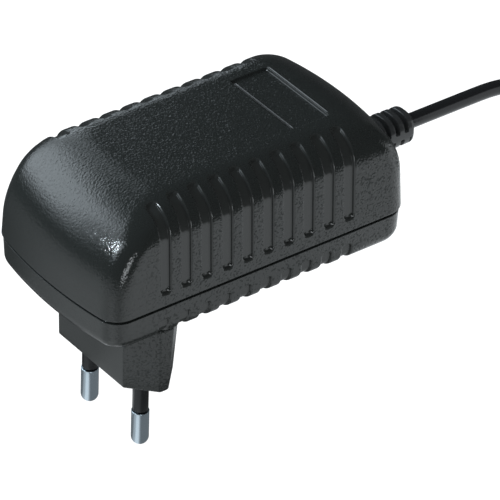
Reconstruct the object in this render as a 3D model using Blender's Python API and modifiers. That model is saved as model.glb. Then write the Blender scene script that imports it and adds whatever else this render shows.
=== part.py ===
"""Plug-in LED driver: hollow two-part case with ribs, mains pins, board with its parts, cord and DC plug.

Frame: origin at the centre of the plug face, +X along the case to the cord, +Y along the line of
the two pins, +Z up through the top of the case. Metres.
"""
import math

import bpy
import bmesh
from mathutils import Vector

for item in list(bpy.data.objects):
    bpy.data.objects.remove(item, do_unlink=True)

# Clearances
GAP = 0.0003
RUN = 0.0005

# Case outside
BODY_WIDTH = 0.0446
BODY_FRONT_X = -0.0188
BODY_LENGTH = 0.0832
BODY_BACK_X = BODY_FRONT_X + BODY_LENGTH
UNDERSIDE_Z = 0.0175
LOWER_HEIGHT = 0.0089
UPPER_HEIGHT = 0.0239
PARTING_Z = UNDERSIDE_Z + LOWER_HEIGHT
TOP_Z = PARTING_Z + UPPER_HEIGHT
DRAFT = 0.0010
FRONT_BOW = 0.0022
BACK_BOW = 0.0028
PLAN_CORNER = 0.0053
FRONT_ROUND = 0.0186
BACK_ROUND = 0.0149
SHOULDER = 0.0080
BOTTOM_EDGE = 0.0038
LOWER_INSET = 0.0003
LOWER_DRAFT = 0.0004
BEAD_HEIGHT = 0.0025
BEAD_PROUD = 0.00035

# Case wall and joint lip
WALL = 0.0020
FLOOR = 0.0020
LIP_SPLIT = 0.0010
LIP_HEIGHT = 0.0012

# Grooves on both long sides
GROOVES = 10
GROOVE_FRONT_IN = 0.01575
GROOVE_BACK_IN = 0.01858
GROOVE_FIRST_X = BODY_FRONT_X + GROOVE_FRONT_IN
GROOVE_PITCH = (BODY_LENGTH - GROOVE_FRONT_IN - GROOVE_BACK_IN) / (GROOVES - 1)
GROOVE_WIDTH = 0.0029
GROOVE_DEPTH = 0.0007
GROOVE_FOOT_RISE = 0.0027
GROOVE_HEAD_IN = 0.0072
GROOVE_END_ROUND = 0.0009
LOW_GROOVE_DROP = 0.0036
GROOVE_FOOT_Z = PARTING_Z + GROOVE_FOOT_RISE
GROOVE_END_Y = BODY_WIDTH / 2 - GROOVE_HEAD_IN
LOW_GROOVE_HEAD_Z = PARTING_Z - LOW_GROOVE_DROP
LOW_GROOVE_RUN = 0.0022

# Recessed bare label panel on top
LABEL_BACK_IN = 0.0216
LABEL_X = BODY_BACK_X - LABEL_BACK_IN
LABEL_LENGTH = 0.0103
LABEL_SIDE_GAP = 0.0038
LABEL_WIDTH = 2 * (GROOVE_END_Y - LABEL_SIDE_GAP)
LABEL_DEPTH = 0.0004

# Plug block under the case, pins and sleeves
BLOCK_WIDTH = 0.0353
BLOCK_FLAT = 0.0261
BLOCK_DEPTH = 0.0137
BLOCK_TIP = 0.0052
BLOCK_FLARE = 0.0012
BLOCK_SIDE_FLARE = 0.0003
BLOCK_EDGE = 0.0005
PIN_PITCH = 0.0190
PIN_LENGTH = 0.0190
PIN_DIAMETER = 0.0040
PIN_CORE = 0.0022
PIN_COLLAR = 0.0044
PIN_COLLAR_HEIGHT = 0.0010
PIN_STUB = 0.0015
SLEEVE_LENGTH = 0.0100
SLEEVE_OUTER = 0.0036
SLEEVE_SEAT = 0.0054

# Board
BOARD_SIDE_GAP = 0.0018
BOARD_FRONT_GAP = 0.0038
BOARD_BACK_GAP = 0.0052
BOARD_THICK = 0.0016
BOARD_CORNER = 0.0028
POST_HEIGHT = 0.0036
POST_DIAMETER = 0.0044
POST_FRONT_IN = 0.0040
POST_BACK_IN = 0.0042
POST_SIDE_IN = 0.0048
BOARD_FRONT_X = BODY_FRONT_X + WALL + BOARD_FRONT_GAP
BOARD_BACK_X = BODY_BACK_X - WALL - BOARD_BACK_GAP
BOARD_WIDTH = BODY_WIDTH - 2 * (LOWER_INSET + LOWER_DRAFT + WALL + BOARD_SIDE_GAP)
BOARD_TOP_Z = UNDERSIDE_Z + FLOOR + POST_HEIGHT + GAP + BOARD_THICK
POST_X = (BOARD_FRONT_X + POST_FRONT_IN, BOARD_BACK_X - POST_BACK_IN)
POST_Y = BOARD_WIDTH / 2 - POST_SIDE_IN

# Parts on the board: sizes, and places taken in from its front, back, right and left edges
FUSE_DIAMETER = 0.0042
FUSE_LENGTH = 0.0100
FUSE_CAP = 0.0018
FUSE_STEP = 0.0003
FUSE_FRONT_IN = 0.0035
FUSE_RIGHT_IN = 0.0093
X_CAP_LENGTH = 0.0055
X_CAP_HEAD_ROOM = 0.0125
X_CAP_FRONT_IN = 0.0042
X_CAP_LEFT_IN = 0.0035
X_CAP_MIDDLE_Y = 0.0013
CHOKE_LENGTH = 0.0140
CHOKE_WIDTH = 0.0125
CHOKE_HEIGHT = 0.0036
CHOKE_LEG = 0.0030
CHOKE_WIRE = 0.0013
CHOKE_FRONT_IN = 0.0136
CHOKE_RIGHT_IN = 0.0090
BRIDGE_LENGTH = 0.0100
BRIDGE_WIDTH = 0.0035
BRIDGE_HEIGHT = 0.0095
BRIDGE_FRONT_IN = 0.0270
BRIDGE_RIGHT_IN = 0.0034
BULK_GAP = 0.0035
BULK_LEFT_IN = 0.0030
BULK_FRONT_GAP = 0.0083
BULK_BACK_GAP = 0.0023
BULK_HEAD_ROOM = 0.0035
SINK_THICK = 0.0015
SINK_SIDE_IN = 0.0020
SINK_HEAD_ROOM = 0.0065
SINK_SHORTER = 0.0025
TAB_THICK = 0.0013
PACKAGE_THICK = 0.0044
PACKAGE_EDGE = 0.0006
TAB_BELOW_SINK = 0.0015
CORE_FRONT_IN = 0.0314
CORE_BACK_IN = 0.0188
CORE_RIGHT_IN = 0.0090
CORE_LEFT_IN = 0.0066
CORE_HEAD_ROOM = 0.0083
BOBBIN_BASE = 0.0012
BOBBIN_CHEEK = 0.0009
Y_CAP_RADIUS = 0.0045
Y_CAP_THICK = 0.0034
Y_CAP_EDGE = 0.0008
Y_CAP_BACK_IN = 0.0124
Y_CAP_RIGHT_IN = 0.0036
OPTO_LENGTH = 0.0064
OPTO_WIDTH = 0.0046
OPTO_HEIGHT = 0.0034
OPTO_BACK_IN = 0.0142
OPTO_RIGHT_IN = 0.0106
OUT_SINK_LENGTH = 0.0140
OUT_SINK_BACK_IN = 0.0122
OUT_CAP_RIGHT_GAP = 0.0036
OUT_CAP_LEFT_GAP = 0.0020
OUT_CAP_FRONT_GAP = 0.0010
OUT_CAP_BACK_GAP = 0.0003
OUT_CAP_HEAD_ROOM = 0.0072
SMALL_CAP_RADIUS = 0.0040
SMALL_CAP_HEAD_ROOM = 0.0115
SMALL_CAP_BACK_IN = 0.0054
SMALL_CAP_RIGHT_IN = 0.0090
CAN_EDGE = 0.0006
INDUCTOR_RADIUS = 0.0032
INDUCTOR_WAIST = 0.0024
INDUCTOR_FLANGE = 0.0010
INDUCTOR_HEIGHT = 0.0075
INDUCTOR_BACK_IN = 0.0046
INDUCTOR_LEFT_IN = 0.0104
MAINS_LEAD = 0.0012
OUTPUT_LEAD = 0.0011
OUTPUT_LEAD_OFF = 0.0011

# Strain relief
RELIEF_LENGTH = 0.0154
CORD_RISE = 0.0038
RELIEF_END_X = BODY_BACK_X + RELIEF_LENGTH
CORD_Z = PARTING_Z + CORD_RISE
RELIEF_ROOT_HALF = 0.0041
RELIEF_END_HALF = 0.0038
RELIEF_CORE = 0.0027
RELIEF_DOME = 0.0020
RIB_PITCH = 0.00255
RIB_SLOT = 0.0011
RIB_END_IN = 0.0033
RIB_LAST_X = RELIEF_END_X - RIB_END_IN
RIB_COUNT = 4
SPINE_TOP = 0.0008
SPINE_LOW = 0.0020
NECK_HALF = 0.0030
FLANGE_HALF = 0.0040
FLANGE_THICK = 0.0016

# Cord, coil, tie and DC plug
CORD_DIAMETER = 0.0035
STRAIGHT_END_X = 0.1060
FLOOR_Z = -PIN_LENGTH
TIE_THICK = 0.0008
TIE_WIDTH = 0.0060
COIL_X = 0.1780
COIL_INNER = 0.0150
COIL_OUTER = 0.0255
COIL_HEIGHT = 0.0105
COIL_BOTTOM_Z = FLOOR_Z + TIE_THICK + RUN
COIL_TOP_Z = COIL_BOTTOM_Z + COIL_HEIGHT
PLUG_TIP_X = 0.1525
BARREL_OUTER = 0.0055
BARREL_WALL = 0.00035
BARREL_LENGTH = 0.0095
CONTACT_BORE = 0.0021
CONTACT_WALL = 0.00035
PLUG_BODY_DIAMETER = 0.0098
PLUG_BODY_LENGTH = 0.0190
PLUG_RELIEF_LENGTH = 0.0105

CORNER_STEPS = 3
BOW_STEPS = 2


def new_collection(name):
    group = bpy.data.collections.new(name)
    bpy.context.scene.collection.children.link(group)
    return group


PARTS = new_collection("led_driver")
CUTTERS = new_collection("led_driver_cutters")


def material(name, colour, metallic=0.0, roughness=0.5):
    made = bpy.data.materials.new(name)
    made.use_nodes = True
    shader = made.node_tree.nodes["Principled BSDF"]
    shader.inputs["Base Color"].default_value = (*colour, 1.0)
    shader.inputs["Metallic"].default_value = metallic
    shader.inputs["Roughness"].default_value = roughness
    return made


BLACK = ((0.025, 0.027, 0.029), 0.0, 0.45)
SOFT_BLACK = ((0.02, 0.02, 0.021), 0.0, 0.5)
NICKEL = ((0.62, 0.64, 0.67), 1.0, 0.25)
TIN = ((0.7, 0.7, 0.7), 1.0, 0.4)

# Rotations that carry an object's own Z axis to an axis of the frame
TURNS = {'X': (math.pi / 2, 0, math.pi / 2), 'Y': (math.pi / 2, 0, 0), 'Z': (0, 0, 0)}


def add_object(name, data, look, cutter=False, place=(0, 0, 0), axis='Z'):
    made = bpy.data.objects.new(name, data)
    (CUTTERS if cutter else PARTS).objects.link(made)
    made.location = place
    made.rotation_euler = TURNS[axis]
    if cutter:
        made.hide_render = True
        made.display_type = 'WIRE'
    else:
        colour, metallic, roughness = look
        data.materials.append(material(name + "_look", colour, metallic, roughness))
    return made


def loft(name, points, faces, look=None, cutter=False):
    """A closed mesh over rings of points, turned so that every face looks outwards."""
    mesh = bpy.data.meshes.new(name)
    mesh.from_pydata([tuple(p) for p in points], [], faces)
    work = bmesh.new()
    work.from_mesh(mesh)
    bmesh.ops.recalc_face_normals(work, faces=work.faces)
    if work.calc_volume(signed=True) < 0:
        bmesh.ops.reverse_faces(work, faces=work.faces)
    work.to_mesh(mesh)
    work.free()
    mesh.shade_smooth()
    mesh.set_sharp_from_angle(angle=math.radians(40))
    return add_object(name, mesh, look, cutter)


def join_rings(rings, start, caps=True, loop=False):
    """Faces of a skin over rings of equal length; loop closes the last ring to the first."""
    count = len(rings[0])
    faces = []
    pairs = len(rings) if loop else len(rings) - 1
    for i in range(pairs):
        a = start + i * count
        b = start + ((i + 1) % len(rings)) * count
        for k in range(count):
            n = (k + 1) % count
            faces.append((a + k, a + n, b + n, b + k))
    if caps and not loop:
        faces.append(tuple(start + k for k in range(count)))
        last = start + (len(rings) - 1) * count
        faces.append(tuple(last + k for k in range(count)))
    return faces


def skin(name, rings, look=None, cutter=False, loop=False):
    points = [p for ring in rings for p in ring]
    return loft(name, points, join_rings(rings, 0, not loop, loop), look, cutter)


def boolean(target, cutter, operation='DIFFERENCE'):
    step = target.modifiers.new(cutter.name, 'BOOLEAN')
    step.operation = operation
    step.solver = 'EXACT'
    step.object = cutter
    return step


def turned(name, profile, look, origin=(0, 0, 0), axis='Z', steps=18, cutter=False):
    """Solid of revolution from (radius, height) pairs; a closed profile when no radius is zero."""
    area = sum(p[0] * q[1] - q[0] * p[1] for p, q in zip(profile, profile[1:] + profile[:1]))
    # Down its outer side, so that the faces look outwards
    line = profile[::-1] if area > 0 else profile
    edges = [(k, k + 1) for k in range(len(line) - 1)]
    if all(radius > 0 for radius, _ in line):
        edges.append((len(line) - 1, 0))
    mesh = bpy.data.meshes.new(name)
    mesh.from_pydata([(radius, 0, height) for radius, height in line], edges, [])
    made = add_object(name, mesh, look, cutter, origin, axis)
    step = made.modifiers.new("turn", 'SCREW')
    step.angle = 2 * math.pi
    step.steps = steps
    step.render_steps = steps
    step.use_merge_vertices = True
    step.merge_threshold = 0.00001
    return made


def can(radius, low, high, edge):
    """Profile of a solid can with a rounded upper rim."""
    rows = [(0, low), (radius - edge, low), (radius, low + edge)]
    for step in range(4):
        t = math.pi / 2 * step / 3
        rows.append((radius - edge + edge * math.cos(t), high - edge + edge * math.sin(t)))
    return rows + [(0, high)]


def box(name, size, centre, look=None, bevel=0.0, cutter=False):
    mesh = bpy.data.meshes.new(name)
    work = bmesh.new()
    bmesh.ops.create_cube(work, size=1.0)
    bmesh.ops.scale(work, vec=size, verts=work.verts)
    work.to_mesh(mesh)
    work.free()
    made = add_object(name, mesh, look, cutter, centre)
    if bevel:
        step = made.modifiers.new("edges", 'BEVEL')
        step.width = bevel
        step.segments = 2
        step.limit_method = 'ANGLE'
    return made


def cylinder(name, radius, low, high, centre, steps, look=None, cutter=False):
    mesh = bpy.data.meshes.new(name)
    work = bmesh.new()
    bmesh.ops.create_cone(work, cap_ends=True, segments=steps, radius1=radius, radius2=radius, depth=high - low)
    work.to_mesh(mesh)
    work.free()
    return add_object(name, mesh, look, cutter, (*centre, (low + high) / 2))


def extruded(name, outlines, thick, place, axis, look=None, cutter=False):
    """Plate of a flat outline, with a thickness along an axis; a second outline is a hole in it."""
    data = bpy.data.curves.new(name, 'CURVE')
    data.dimensions = '2D'
    data.fill_mode = 'BOTH'
    data.extrude = thick / 2
    for outline in outlines:
        spline = data.splines.new('POLY')
        spline.points.add(len(outline) - 1)
        for point, (a, b) in zip(spline.points, outline):
            point.co = (a, b, 0, 1)
        spline.use_cyclic_u = True
    return add_object(name, data, look, cutter, place, axis)


def as_mesh(curve):
    """Mesh object in the place of a curve object that is to cut, its caps joined to its sides."""
    name = curve.name
    bpy.context.view_layer.update()
    graph = bpy.context.evaluated_depsgraph_get()
    mesh = bpy.data.meshes.new_from_object(curve.evaluated_get(graph))
    work = bmesh.new()
    work.from_mesh(mesh)
    bmesh.ops.remove_doubles(work, verts=work.verts, dist=0.000001)
    bmesh.ops.recalc_face_normals(work, faces=work.faces)
    work.to_mesh(mesh)
    work.free()
    matrix = curve.matrix_world.copy()
    bpy.data.objects.remove(curve, do_unlink=True)
    made = add_object(name, mesh, None, True)
    made.matrix_world = matrix
    return made


def smooth_line(route, spacing):
    """Points at an even spacing on a smooth curve through the route."""
    knots = [Vector(p) for p in route]
    ends = [2 * knots[0] - knots[1]] + knots + [2 * knots[-1] - knots[-2]]
    fine = []
    for i in range(1, len(ends) - 2):
        a, b, c, d = ends[i - 1:i + 3]
        for step in range(24):
            t = step / 24
            fine.append(0.5 * (2 * b + (c - a) * t + (2 * a - 5 * b + 4 * c - d) * t ** 2
                               + (3 * b - a - 3 * c + d) * t ** 3))
    fine.append(knots[-1])
    total = sum((q - p).length for p, q in zip(fine, fine[1:]))
    count = max(2, round(total / spacing))
    want = [total * k / count for k in range(count + 1)]
    line = [fine[0]]
    run = 0.0
    for p, q in zip(fine, fine[1:]):
        size = (q - p).length
        while len(line) <= count and want[len(line)] <= run + size + 1e-12:
            line.append(p.lerp(q, (want[len(line)] - run) / size))
        run += size
    if len(line) <= count:
        line.append(fine[-1])
    return line


def tube(name, route, diameter, look, spacing=None, sides=2):
    data = bpy.data.curves.new(name, 'CURVE')
    data.dimensions = '3D'
    data.bevel_depth = diameter / 2
    data.bevel_resolution = sides
    data.use_fill_caps = True
    line = smooth_line(route, spacing or 2.2 * diameter)
    spline = data.splines.new('POLY')
    spline.points.add(len(line) - 1)
    for point, place in zip(spline.points, line):
        point.co = (*place, 1.0)
    return add_object(name, data, look)


# Outline of the case in plan

def end_arcs(half, bow, corner):
    """Centre distance and half angle of the bowed end, and how far in the corner centre lies."""
    reach = half - corner
    radius = (half ** 2 + bow ** 2) / (2 * bow)
    inward = radius - math.sqrt((radius - corner) ** 2 - reach ** 2)
    return radius, math.asin(reach / (radius - corner)), inward, reach


def plan_ring(shape, z):
    front, back, half, corner = shape
    points = []
    for end, bow, sign in ((front, FRONT_BOW, 1), (back, BACK_BOW, -1)):
        radius, wide, inward, reach = end_arcs(half, bow, corner)
        side = []
        for k in range(-BOW_STEPS, BOW_STEPS + 1):
            t = wide * k / BOW_STEPS
            side.append((end + sign * radius * (1 - math.cos(t)), radius * math.sin(t)))
        turn = []
        for k in range(1, CORNER_STEPS + 1):
            t = wide + (math.pi / 2 - wide) * k / CORNER_STEPS
            turn.append((end + sign * (inward - corner * math.cos(t)), reach + corner * math.sin(t)))
        whole = [(x, -y) for x, y in reversed(turn)] + side + turn
        points += whole if sign == 1 else list(reversed(whole))
    return [Vector((x, y, z)) for x, y in points]


def arc_inset(z, top, radius):
    rise = z - (top - radius)
    if rise <= 0:
        return 0.0
    return radius - math.sqrt(max(radius ** 2 - rise ** 2, 0.0))


def upper_shape(z, wall=0.0):
    """Front, back, half width and corner of the upper case at a height, at a depth under its skin."""
    top = TOP_Z - wall
    lean = DRAFT * (z - PARTING_Z) / (TOP_Z - PARTING_Z)
    front = BODY_FRONT_X + wall + lean + arc_inset(z, top, FRONT_ROUND - wall)
    back = BODY_BACK_X - wall - lean - arc_inset(z, top, BACK_ROUND - wall)
    half = BODY_WIDTH / 2 - wall - lean - arc_inset(z, top, SHOULDER - wall)
    return front, back, half, PLAN_CORNER - 0.8 * wall


def lower_shape(z, wall=0.0, floor=0.0):
    low = UNDERSIDE_Z + floor
    edge = BOTTOM_EDGE - wall
    part = (PARTING_Z - z) / (PARTING_Z - UNDERSIDE_Z)
    inset = LOWER_INSET + LOWER_DRAFT * part + wall + arc_inset(2 * low - z, low, edge)
    corner = max(PLAN_CORNER - 0.6 * inset, 0.0012)
    return BODY_FRONT_X + inset, BODY_BACK_X - inset, BODY_WIDTH / 2 - inset, corner


def grown(shape, by):
    front, back, half, corner = shape
    return front - by, back + by, half + by, corner + by


def rise(low, high, steps):
    return [low + (high - low) * math.sin(math.pi / 2 * k / steps) for k in range(steps + 1)]


# Upper case

rim_low = PARTING_Z + GAP / 2
rim_lip = PARTING_Z + LIP_HEIGHT + GAP
outer = [plan_ring(grown(upper_shape(PARTING_Z), -BEAD_PROUD), rim_low)]
for share, out in ((0.28, 0.7), (0.5, 1.0), (0.85, 0.8)):
    height = PARTING_Z + BEAD_HEIGHT * share
    outer.append(plan_ring(grown(upper_shape(height), BEAD_PROUD * out), height))
outer.append(plan_ring(upper_shape(PARTING_Z + BEAD_HEIGHT), PARTING_Z + BEAD_HEIGHT))
for height in rise(TOP_Z - FRONT_ROUND, TOP_Z, 16):
    outer.append(plan_ring(upper_shape(height), height))
inner = [plan_ring(upper_shape(PARTING_Z, LIP_SPLIT), rim_low)]
inner.append(plan_ring(upper_shape(PARTING_Z, LIP_SPLIT), rim_lip))
inner.append(plan_ring(upper_shape(rim_lip, WALL), rim_lip))
for height in rise(TOP_Z - FRONT_ROUND, TOP_Z - WALL, 6):
    inner.append(plan_ring(upper_shape(height, WALL), height))
case_top = skin("case_top", list(reversed(outer)) + inner, BLACK)


def half_width_at(x, shape):
    """Half width of a plan outline at one place along the case; None beyond its ends."""
    front, back, half, corner = shape
    for end, bow, sign in ((front, FRONT_BOW, 1), (back, BACK_BOW, -1)):
        deep = sign * (x - end)
        if deep < 0:
            return None
        radius, wide, inward, reach = end_arcs(half, bow, corner)
        if deep < radius * (1 - math.cos(wide)):
            return math.sqrt(max(radius ** 2 - (radius - deep) ** 2, 0.0))
        if deep < inward:
            return reach + math.sqrt(max(corner ** 2 - (inward - deep) ** 2, 0.0))
    return half


def side_path(x, low, heights, shape_at, stop):
    """Outside of the case at one x, from a starting height round the edge until y reaches stop."""
    path = [(half_width_at(x, shape_at(low)), low)]
    for height in heights:
        wide = half_width_at(x, shape_at(height))
        if wide is None:
            break
        last = path[-1]
        if wide <= stop:
            t = (last[0] - stop) / max(last[0] - wide, 1e-9)
            path.append((stop, last[1] + (height - last[1]) * t))
            return path
        path.append((wide, height))
    return path


def along(path, share):
    """Place and outward normal in the YZ plane at a share of the path length."""
    sizes = [math.dist(p, q) for p, q in zip(path, path[1:])]
    want = share * sum(sizes)
    for (p, q), size in zip(zip(path, path[1:]), sizes):
        if want <= size or q is path[-1]:
            t = min(want / size, 1.0)
            place = (p[0] + (q[0] - p[0]) * t, p[1] + (q[1] - p[1]) * t)
            return place, ((q[1] - p[1]) / size, -(q[0] - p[0]) / size)
        want -= size
    return path[-1], (0.0, 1.0)


def groove_cutters(name, path_at, turn, tail, bend_rows):
    """One closed bar per groove, wrapped round the case edge at a constant depth."""
    points = []
    faces = []
    rows = 3
    sample = path_at(GROOVE_FIRST_X + GROOVE_PITCH * GROOVES / 2)
    total = sum(math.dist(p, q) for p, q in zip(sample, sample[1:]))
    bend_from = math.dist(sample[0], sample[1]) / total
    bend_to = 1 - tail / total
    for side in (-1, 1):
        for k in range(GROOVES):
            centre = GROOVE_FIRST_X + GROOVE_PITCH * k
            tip = GROOVE_END_ROUND / total
            ends = [tip * (1 - math.cos(math.pi / 2 * i / rows)) for i in range(rows + 1)]
            first = max(bend_from, 1.5 * tip)
            last = min(bend_to, 1 - 1.5 * tip)
            middle = [first + (last - first) * i / bend_rows for i in range(bend_rows + 1)]
            shares = ends + middle + [1 - t for t in reversed(ends)]
            rings = []
            for share in shares:
                near = min(share, 1 - share)
                cut = max(1 - near / tip, 0.0)
                half = GROOVE_WIDTH / 2 * math.sqrt(max(1 - cut ** 2, 0.0))
                half = max(half, 0.12 * GROOVE_WIDTH)
                ring = []
                for x, out in ((-1, 0), (1, 0), (1, 1), (-1, 1)):
                    (y, z), (ny, nz) = along(path_at(centre + x * half), share)
                    if turn < 0:
                        ny, nz = -ny, -nz
                    step = 0.0015 if out else -GROOVE_DEPTH
                    ring.append((centre + x * half, side * (y + ny * step), z + nz * step))
                rings.append(ring)
            start = len(points)
            points += [p for ring in rings for p in ring]
            faces += join_rings(rings, start)
    return loft(name, points, faces, cutter=True)


def upper_path(x):
    heights = [TOP_Z - SHOULDER + SHOULDER * math.sin(math.pi / 2 * k / 30) for k in range(31)]
    return side_path(x, GROOVE_FOOT_Z, heights, upper_shape, GROOVE_END_Y)


def lower_path(x):
    drop = [UNDERSIDE_Z + BOTTOM_EDGE * (1 - math.sin(math.pi / 2 * k / 12)) for k in range(13)]
    path = side_path(x, LOW_GROOVE_HEAD_Z, drop, lower_shape, 0.0)
    return path + [(path[-1][0] - LOW_GROOVE_RUN, UNDERSIDE_Z)]


boolean(case_top, groove_cutters("upper_grooves", upper_path, 1, 0.0, 6))
label_size = (LABEL_LENGTH, LABEL_WIDTH, 2 * LABEL_DEPTH)
boolean(case_top, box("label_recess", label_size, (LABEL_X, 0, TOP_Z), cutter=True))

# Lower case with the plug block and the board posts

edge_heights = rise(UNDERSIDE_Z + BOTTOM_EDGE, UNDERSIDE_Z, 6)
outer = [plan_ring(lower_shape(height), height) for height in reversed(edge_heights)]
outer.append(plan_ring(lower_shape(PARTING_Z - GAP / 2), PARTING_Z - GAP / 2))
lip_out = lower_shape(PARTING_Z, LIP_SPLIT + GAP - LOWER_INSET)
lip_in = lower_shape(PARTING_Z, WALL)
inner = [plan_ring(lip_out, PARTING_Z - GAP / 2), plan_ring(lip_out, PARTING_Z + LIP_HEIGHT)]
inner.append(plan_ring(lip_in, PARTING_Z + LIP_HEIGHT))
for height in rise(UNDERSIDE_Z + BOTTOM_EDGE, UNDERSIDE_Z + FLOOR, 3):
    inner.append(plan_ring(lower_shape(height, WALL, FLOOR), height))
case_bottom = skin("case_bottom", outer + inner, BLACK)


def block_outline(grow, flare):
    flat = BLOCK_FLAT / 2 + 0.4 * grow
    wide = BLOCK_WIDTH / 2 + grow
    deep = BLOCK_DEPTH / 2 + grow
    tip = BLOCK_TIP / 2 + grow
    back = deep + flare
    rear_tip = tip + 0.6 * flare
    return [(-deep, -flat), (-tip, -wide), (rear_tip, -wide), (back, -flat),
            (back, flat), (rear_tip, wide), (-tip, wide), (-deep, flat)]


block_rings = []
for height, grow, flare in ((0.0, -BLOCK_EDGE, 0.0), (0.3 * BLOCK_EDGE, -0.3 * BLOCK_EDGE, 0.0),
                            (BLOCK_EDGE, 0.0, 0.0),
                            (UNDERSIDE_Z + 0.25 * FLOOR, BLOCK_SIDE_FLARE, BLOCK_FLARE)):
    block_rings.append([Vector((x, y, height)) for x, y in block_outline(grow, flare)])
boolean(case_bottom, skin("plug_block", block_rings, cutter=True), 'UNION')

board_low = BOARD_TOP_Z - BOARD_THICK
floor_top = UNDERSIDE_Z + FLOOR
posts = []
for x in POST_X:
    for y in (-POST_Y, POST_Y):
        name = "post_{}_{}".format("front" if x < 0 else "back", "right" if y < 0 else "left")
        post = cylinder(name, POST_DIAMETER / 2, floor_top - FLOOR / 4, board_low - GAP, (x, y), 12, cutter=True)
        boolean(case_bottom, post, 'UNION')

seat_radius = SLEEVE_OUTER / 2 + GAP
core_radius = PIN_CORE / 2 + GAP
for side, word in ((-1, "right"), (1, "left")):
    profile = [(0, -0.001), (seat_radius, -0.001), (seat_radius, SLEEVE_SEAT + GAP),
               (core_radius, SLEEVE_SEAT + GAP), (core_radius, floor_top + 0.001),
               (0, floor_top + 0.001)]
    hole = turned("pin_hole_" + word, profile, None, (0, side * PIN_PITCH / 2, 0), steps=24, cutter=True)
    boolean(case_bottom, hole)
boolean(case_bottom, groove_cutters("lower_grooves", lower_path, -1, LOW_GROOVE_RUN, 3))

# Opening for the strain relief, cut in both case halves

neck_top = CORD_Z + NECK_HALF
neck_low = PARTING_Z + GAP
slot_size = (0.0080, 2 * (NECK_HALF + GAP), neck_top + GAP - PARTING_Z + 0.001)
slot_centre = (BODY_BACK_X - WALL / 2, 0, neck_top + GAP - slot_size[2] / 2)
boolean(case_top, box("relief_slot", slot_size, slot_centre, cutter=True))
lip_size = (0.0080, 2 * (FLANGE_HALF + 2 * GAP), LIP_HEIGHT + 0.002)
lip_centre = (BODY_BACK_X - WALL / 2 - 0.0015, 0, PARTING_Z - GAP / 2 + lip_size[2] / 2)
boolean(case_bottom, box("lip_slot", lip_size, lip_centre, cutter=True))

# Pins and sleeves

for side, word in ((-1, "right"), (1, "left")):
    place = (0, side * PIN_PITCH / 2, 0)
    radius = PIN_DIAMETER / 2
    profile = [(0, -PIN_LENGTH)]
    for k in range(1, 6):
        t = math.pi / 2 * k / 5
        profile.append((radius * math.sin(t), -PIN_LENGTH + radius * (1 - math.cos(t))))
    collar = floor_top + GAP
    profile += [(radius, -SLEEVE_LENGTH), (PIN_CORE / 2, -SLEEVE_LENGTH), (PIN_CORE / 2, collar),
                (PIN_COLLAR / 2, collar), (PIN_COLLAR / 2, collar + PIN_COLLAR_HEIGHT),
                (PIN_CORE / 2, collar + PIN_COLLAR_HEIGHT),
                (PIN_CORE / 2, collar + PIN_COLLAR_HEIGHT + PIN_STUB),
                (0, collar + PIN_COLLAR_HEIGHT + PIN_STUB)]
    turned("pin_" + word, profile, NICKEL, place, steps=20)
    bore = PIN_CORE / 2 + GAP
    skin_radius = SLEEVE_OUTER / 2
    foot = -SLEEVE_LENGTH + GAP
    profile = [(bore, foot), (skin_radius - 0.0001, foot), (skin_radius, foot + 0.0001),
               (skin_radius, SLEEVE_SEAT), (bore, SLEEVE_SEAT)]
    turned("sleeve_" + word, profile, BLACK, place, steps=20)

# Circuit board

board_half_x = (BOARD_BACK_X - BOARD_FRONT_X) / 2
board_ring = []
for turn, (sx, sy) in enumerate(((1, 1), (-1, 1), (-1, -1), (1, -1))):
    for k in range(5):
        t = math.pi / 2 * (turn + k / 4)
        board_ring.append((sx * (board_half_x - BOARD_CORNER) + BOARD_CORNER * math.cos(t),
                           sy * (BOARD_WIDTH / 2 - BOARD_CORNER) + BOARD_CORNER * math.sin(t)))
extruded("circuit_board", [board_ring], BOARD_THICK,
         ((BOARD_FRONT_X + BOARD_BACK_X) / 2, 0, (board_low + BOARD_TOP_Z) / 2), 'Z', ((0.03, 0.16, 0.07), 0.0, 0.45))

# Parts standing on the board

deck = BOARD_TOP_Z + GAP
room = TOP_Z - WALL - deck
right = -BOARD_WIDTH / 2
left = BOARD_WIDTH / 2

DARK_BODY = ((0.05, 0.05, 0.055), 0.0, 0.5)
ALUMINIUM = ((0.72, 0.73, 0.74), 1.0, 0.4)
COPPER = ((0.62, 0.24, 0.09), 1.0, 0.35)
FERRITE = ((0.09, 0.09, 0.1), 0.0, 0.7)

fuse_radius = FUSE_DIAMETER / 2
fuse_end = FUSE_LENGTH / 2
turned("fuse", [(0, -fuse_end), (fuse_radius, -fuse_end), (fuse_radius, FUSE_CAP - fuse_end),
                (fuse_radius - FUSE_STEP, FUSE_CAP - fuse_end), (fuse_radius - FUSE_STEP, fuse_end - FUSE_CAP),
                (fuse_radius, fuse_end - FUSE_CAP), (fuse_radius, fuse_end), (0, fuse_end)],
       ((0.62, 0.55, 0.42), 0.0, 0.35),
       (BOARD_FRONT_X + FUSE_FRONT_IN, right + FUSE_RIGHT_IN, deck + fuse_radius), 'Y')

x_cap_width = left - X_CAP_LEFT_IN - X_CAP_MIDDLE_Y
x_cap_high = room - X_CAP_HEAD_ROOM
box("x_capacitor", (X_CAP_LENGTH, x_cap_width, x_cap_high),
    (BOARD_FRONT_X + X_CAP_FRONT_IN, X_CAP_MIDDLE_Y + x_cap_width / 2, deck + x_cap_high / 2),
    ((0.75, 0.62, 0.12), 0.0, 0.4), 0.0004)

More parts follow.
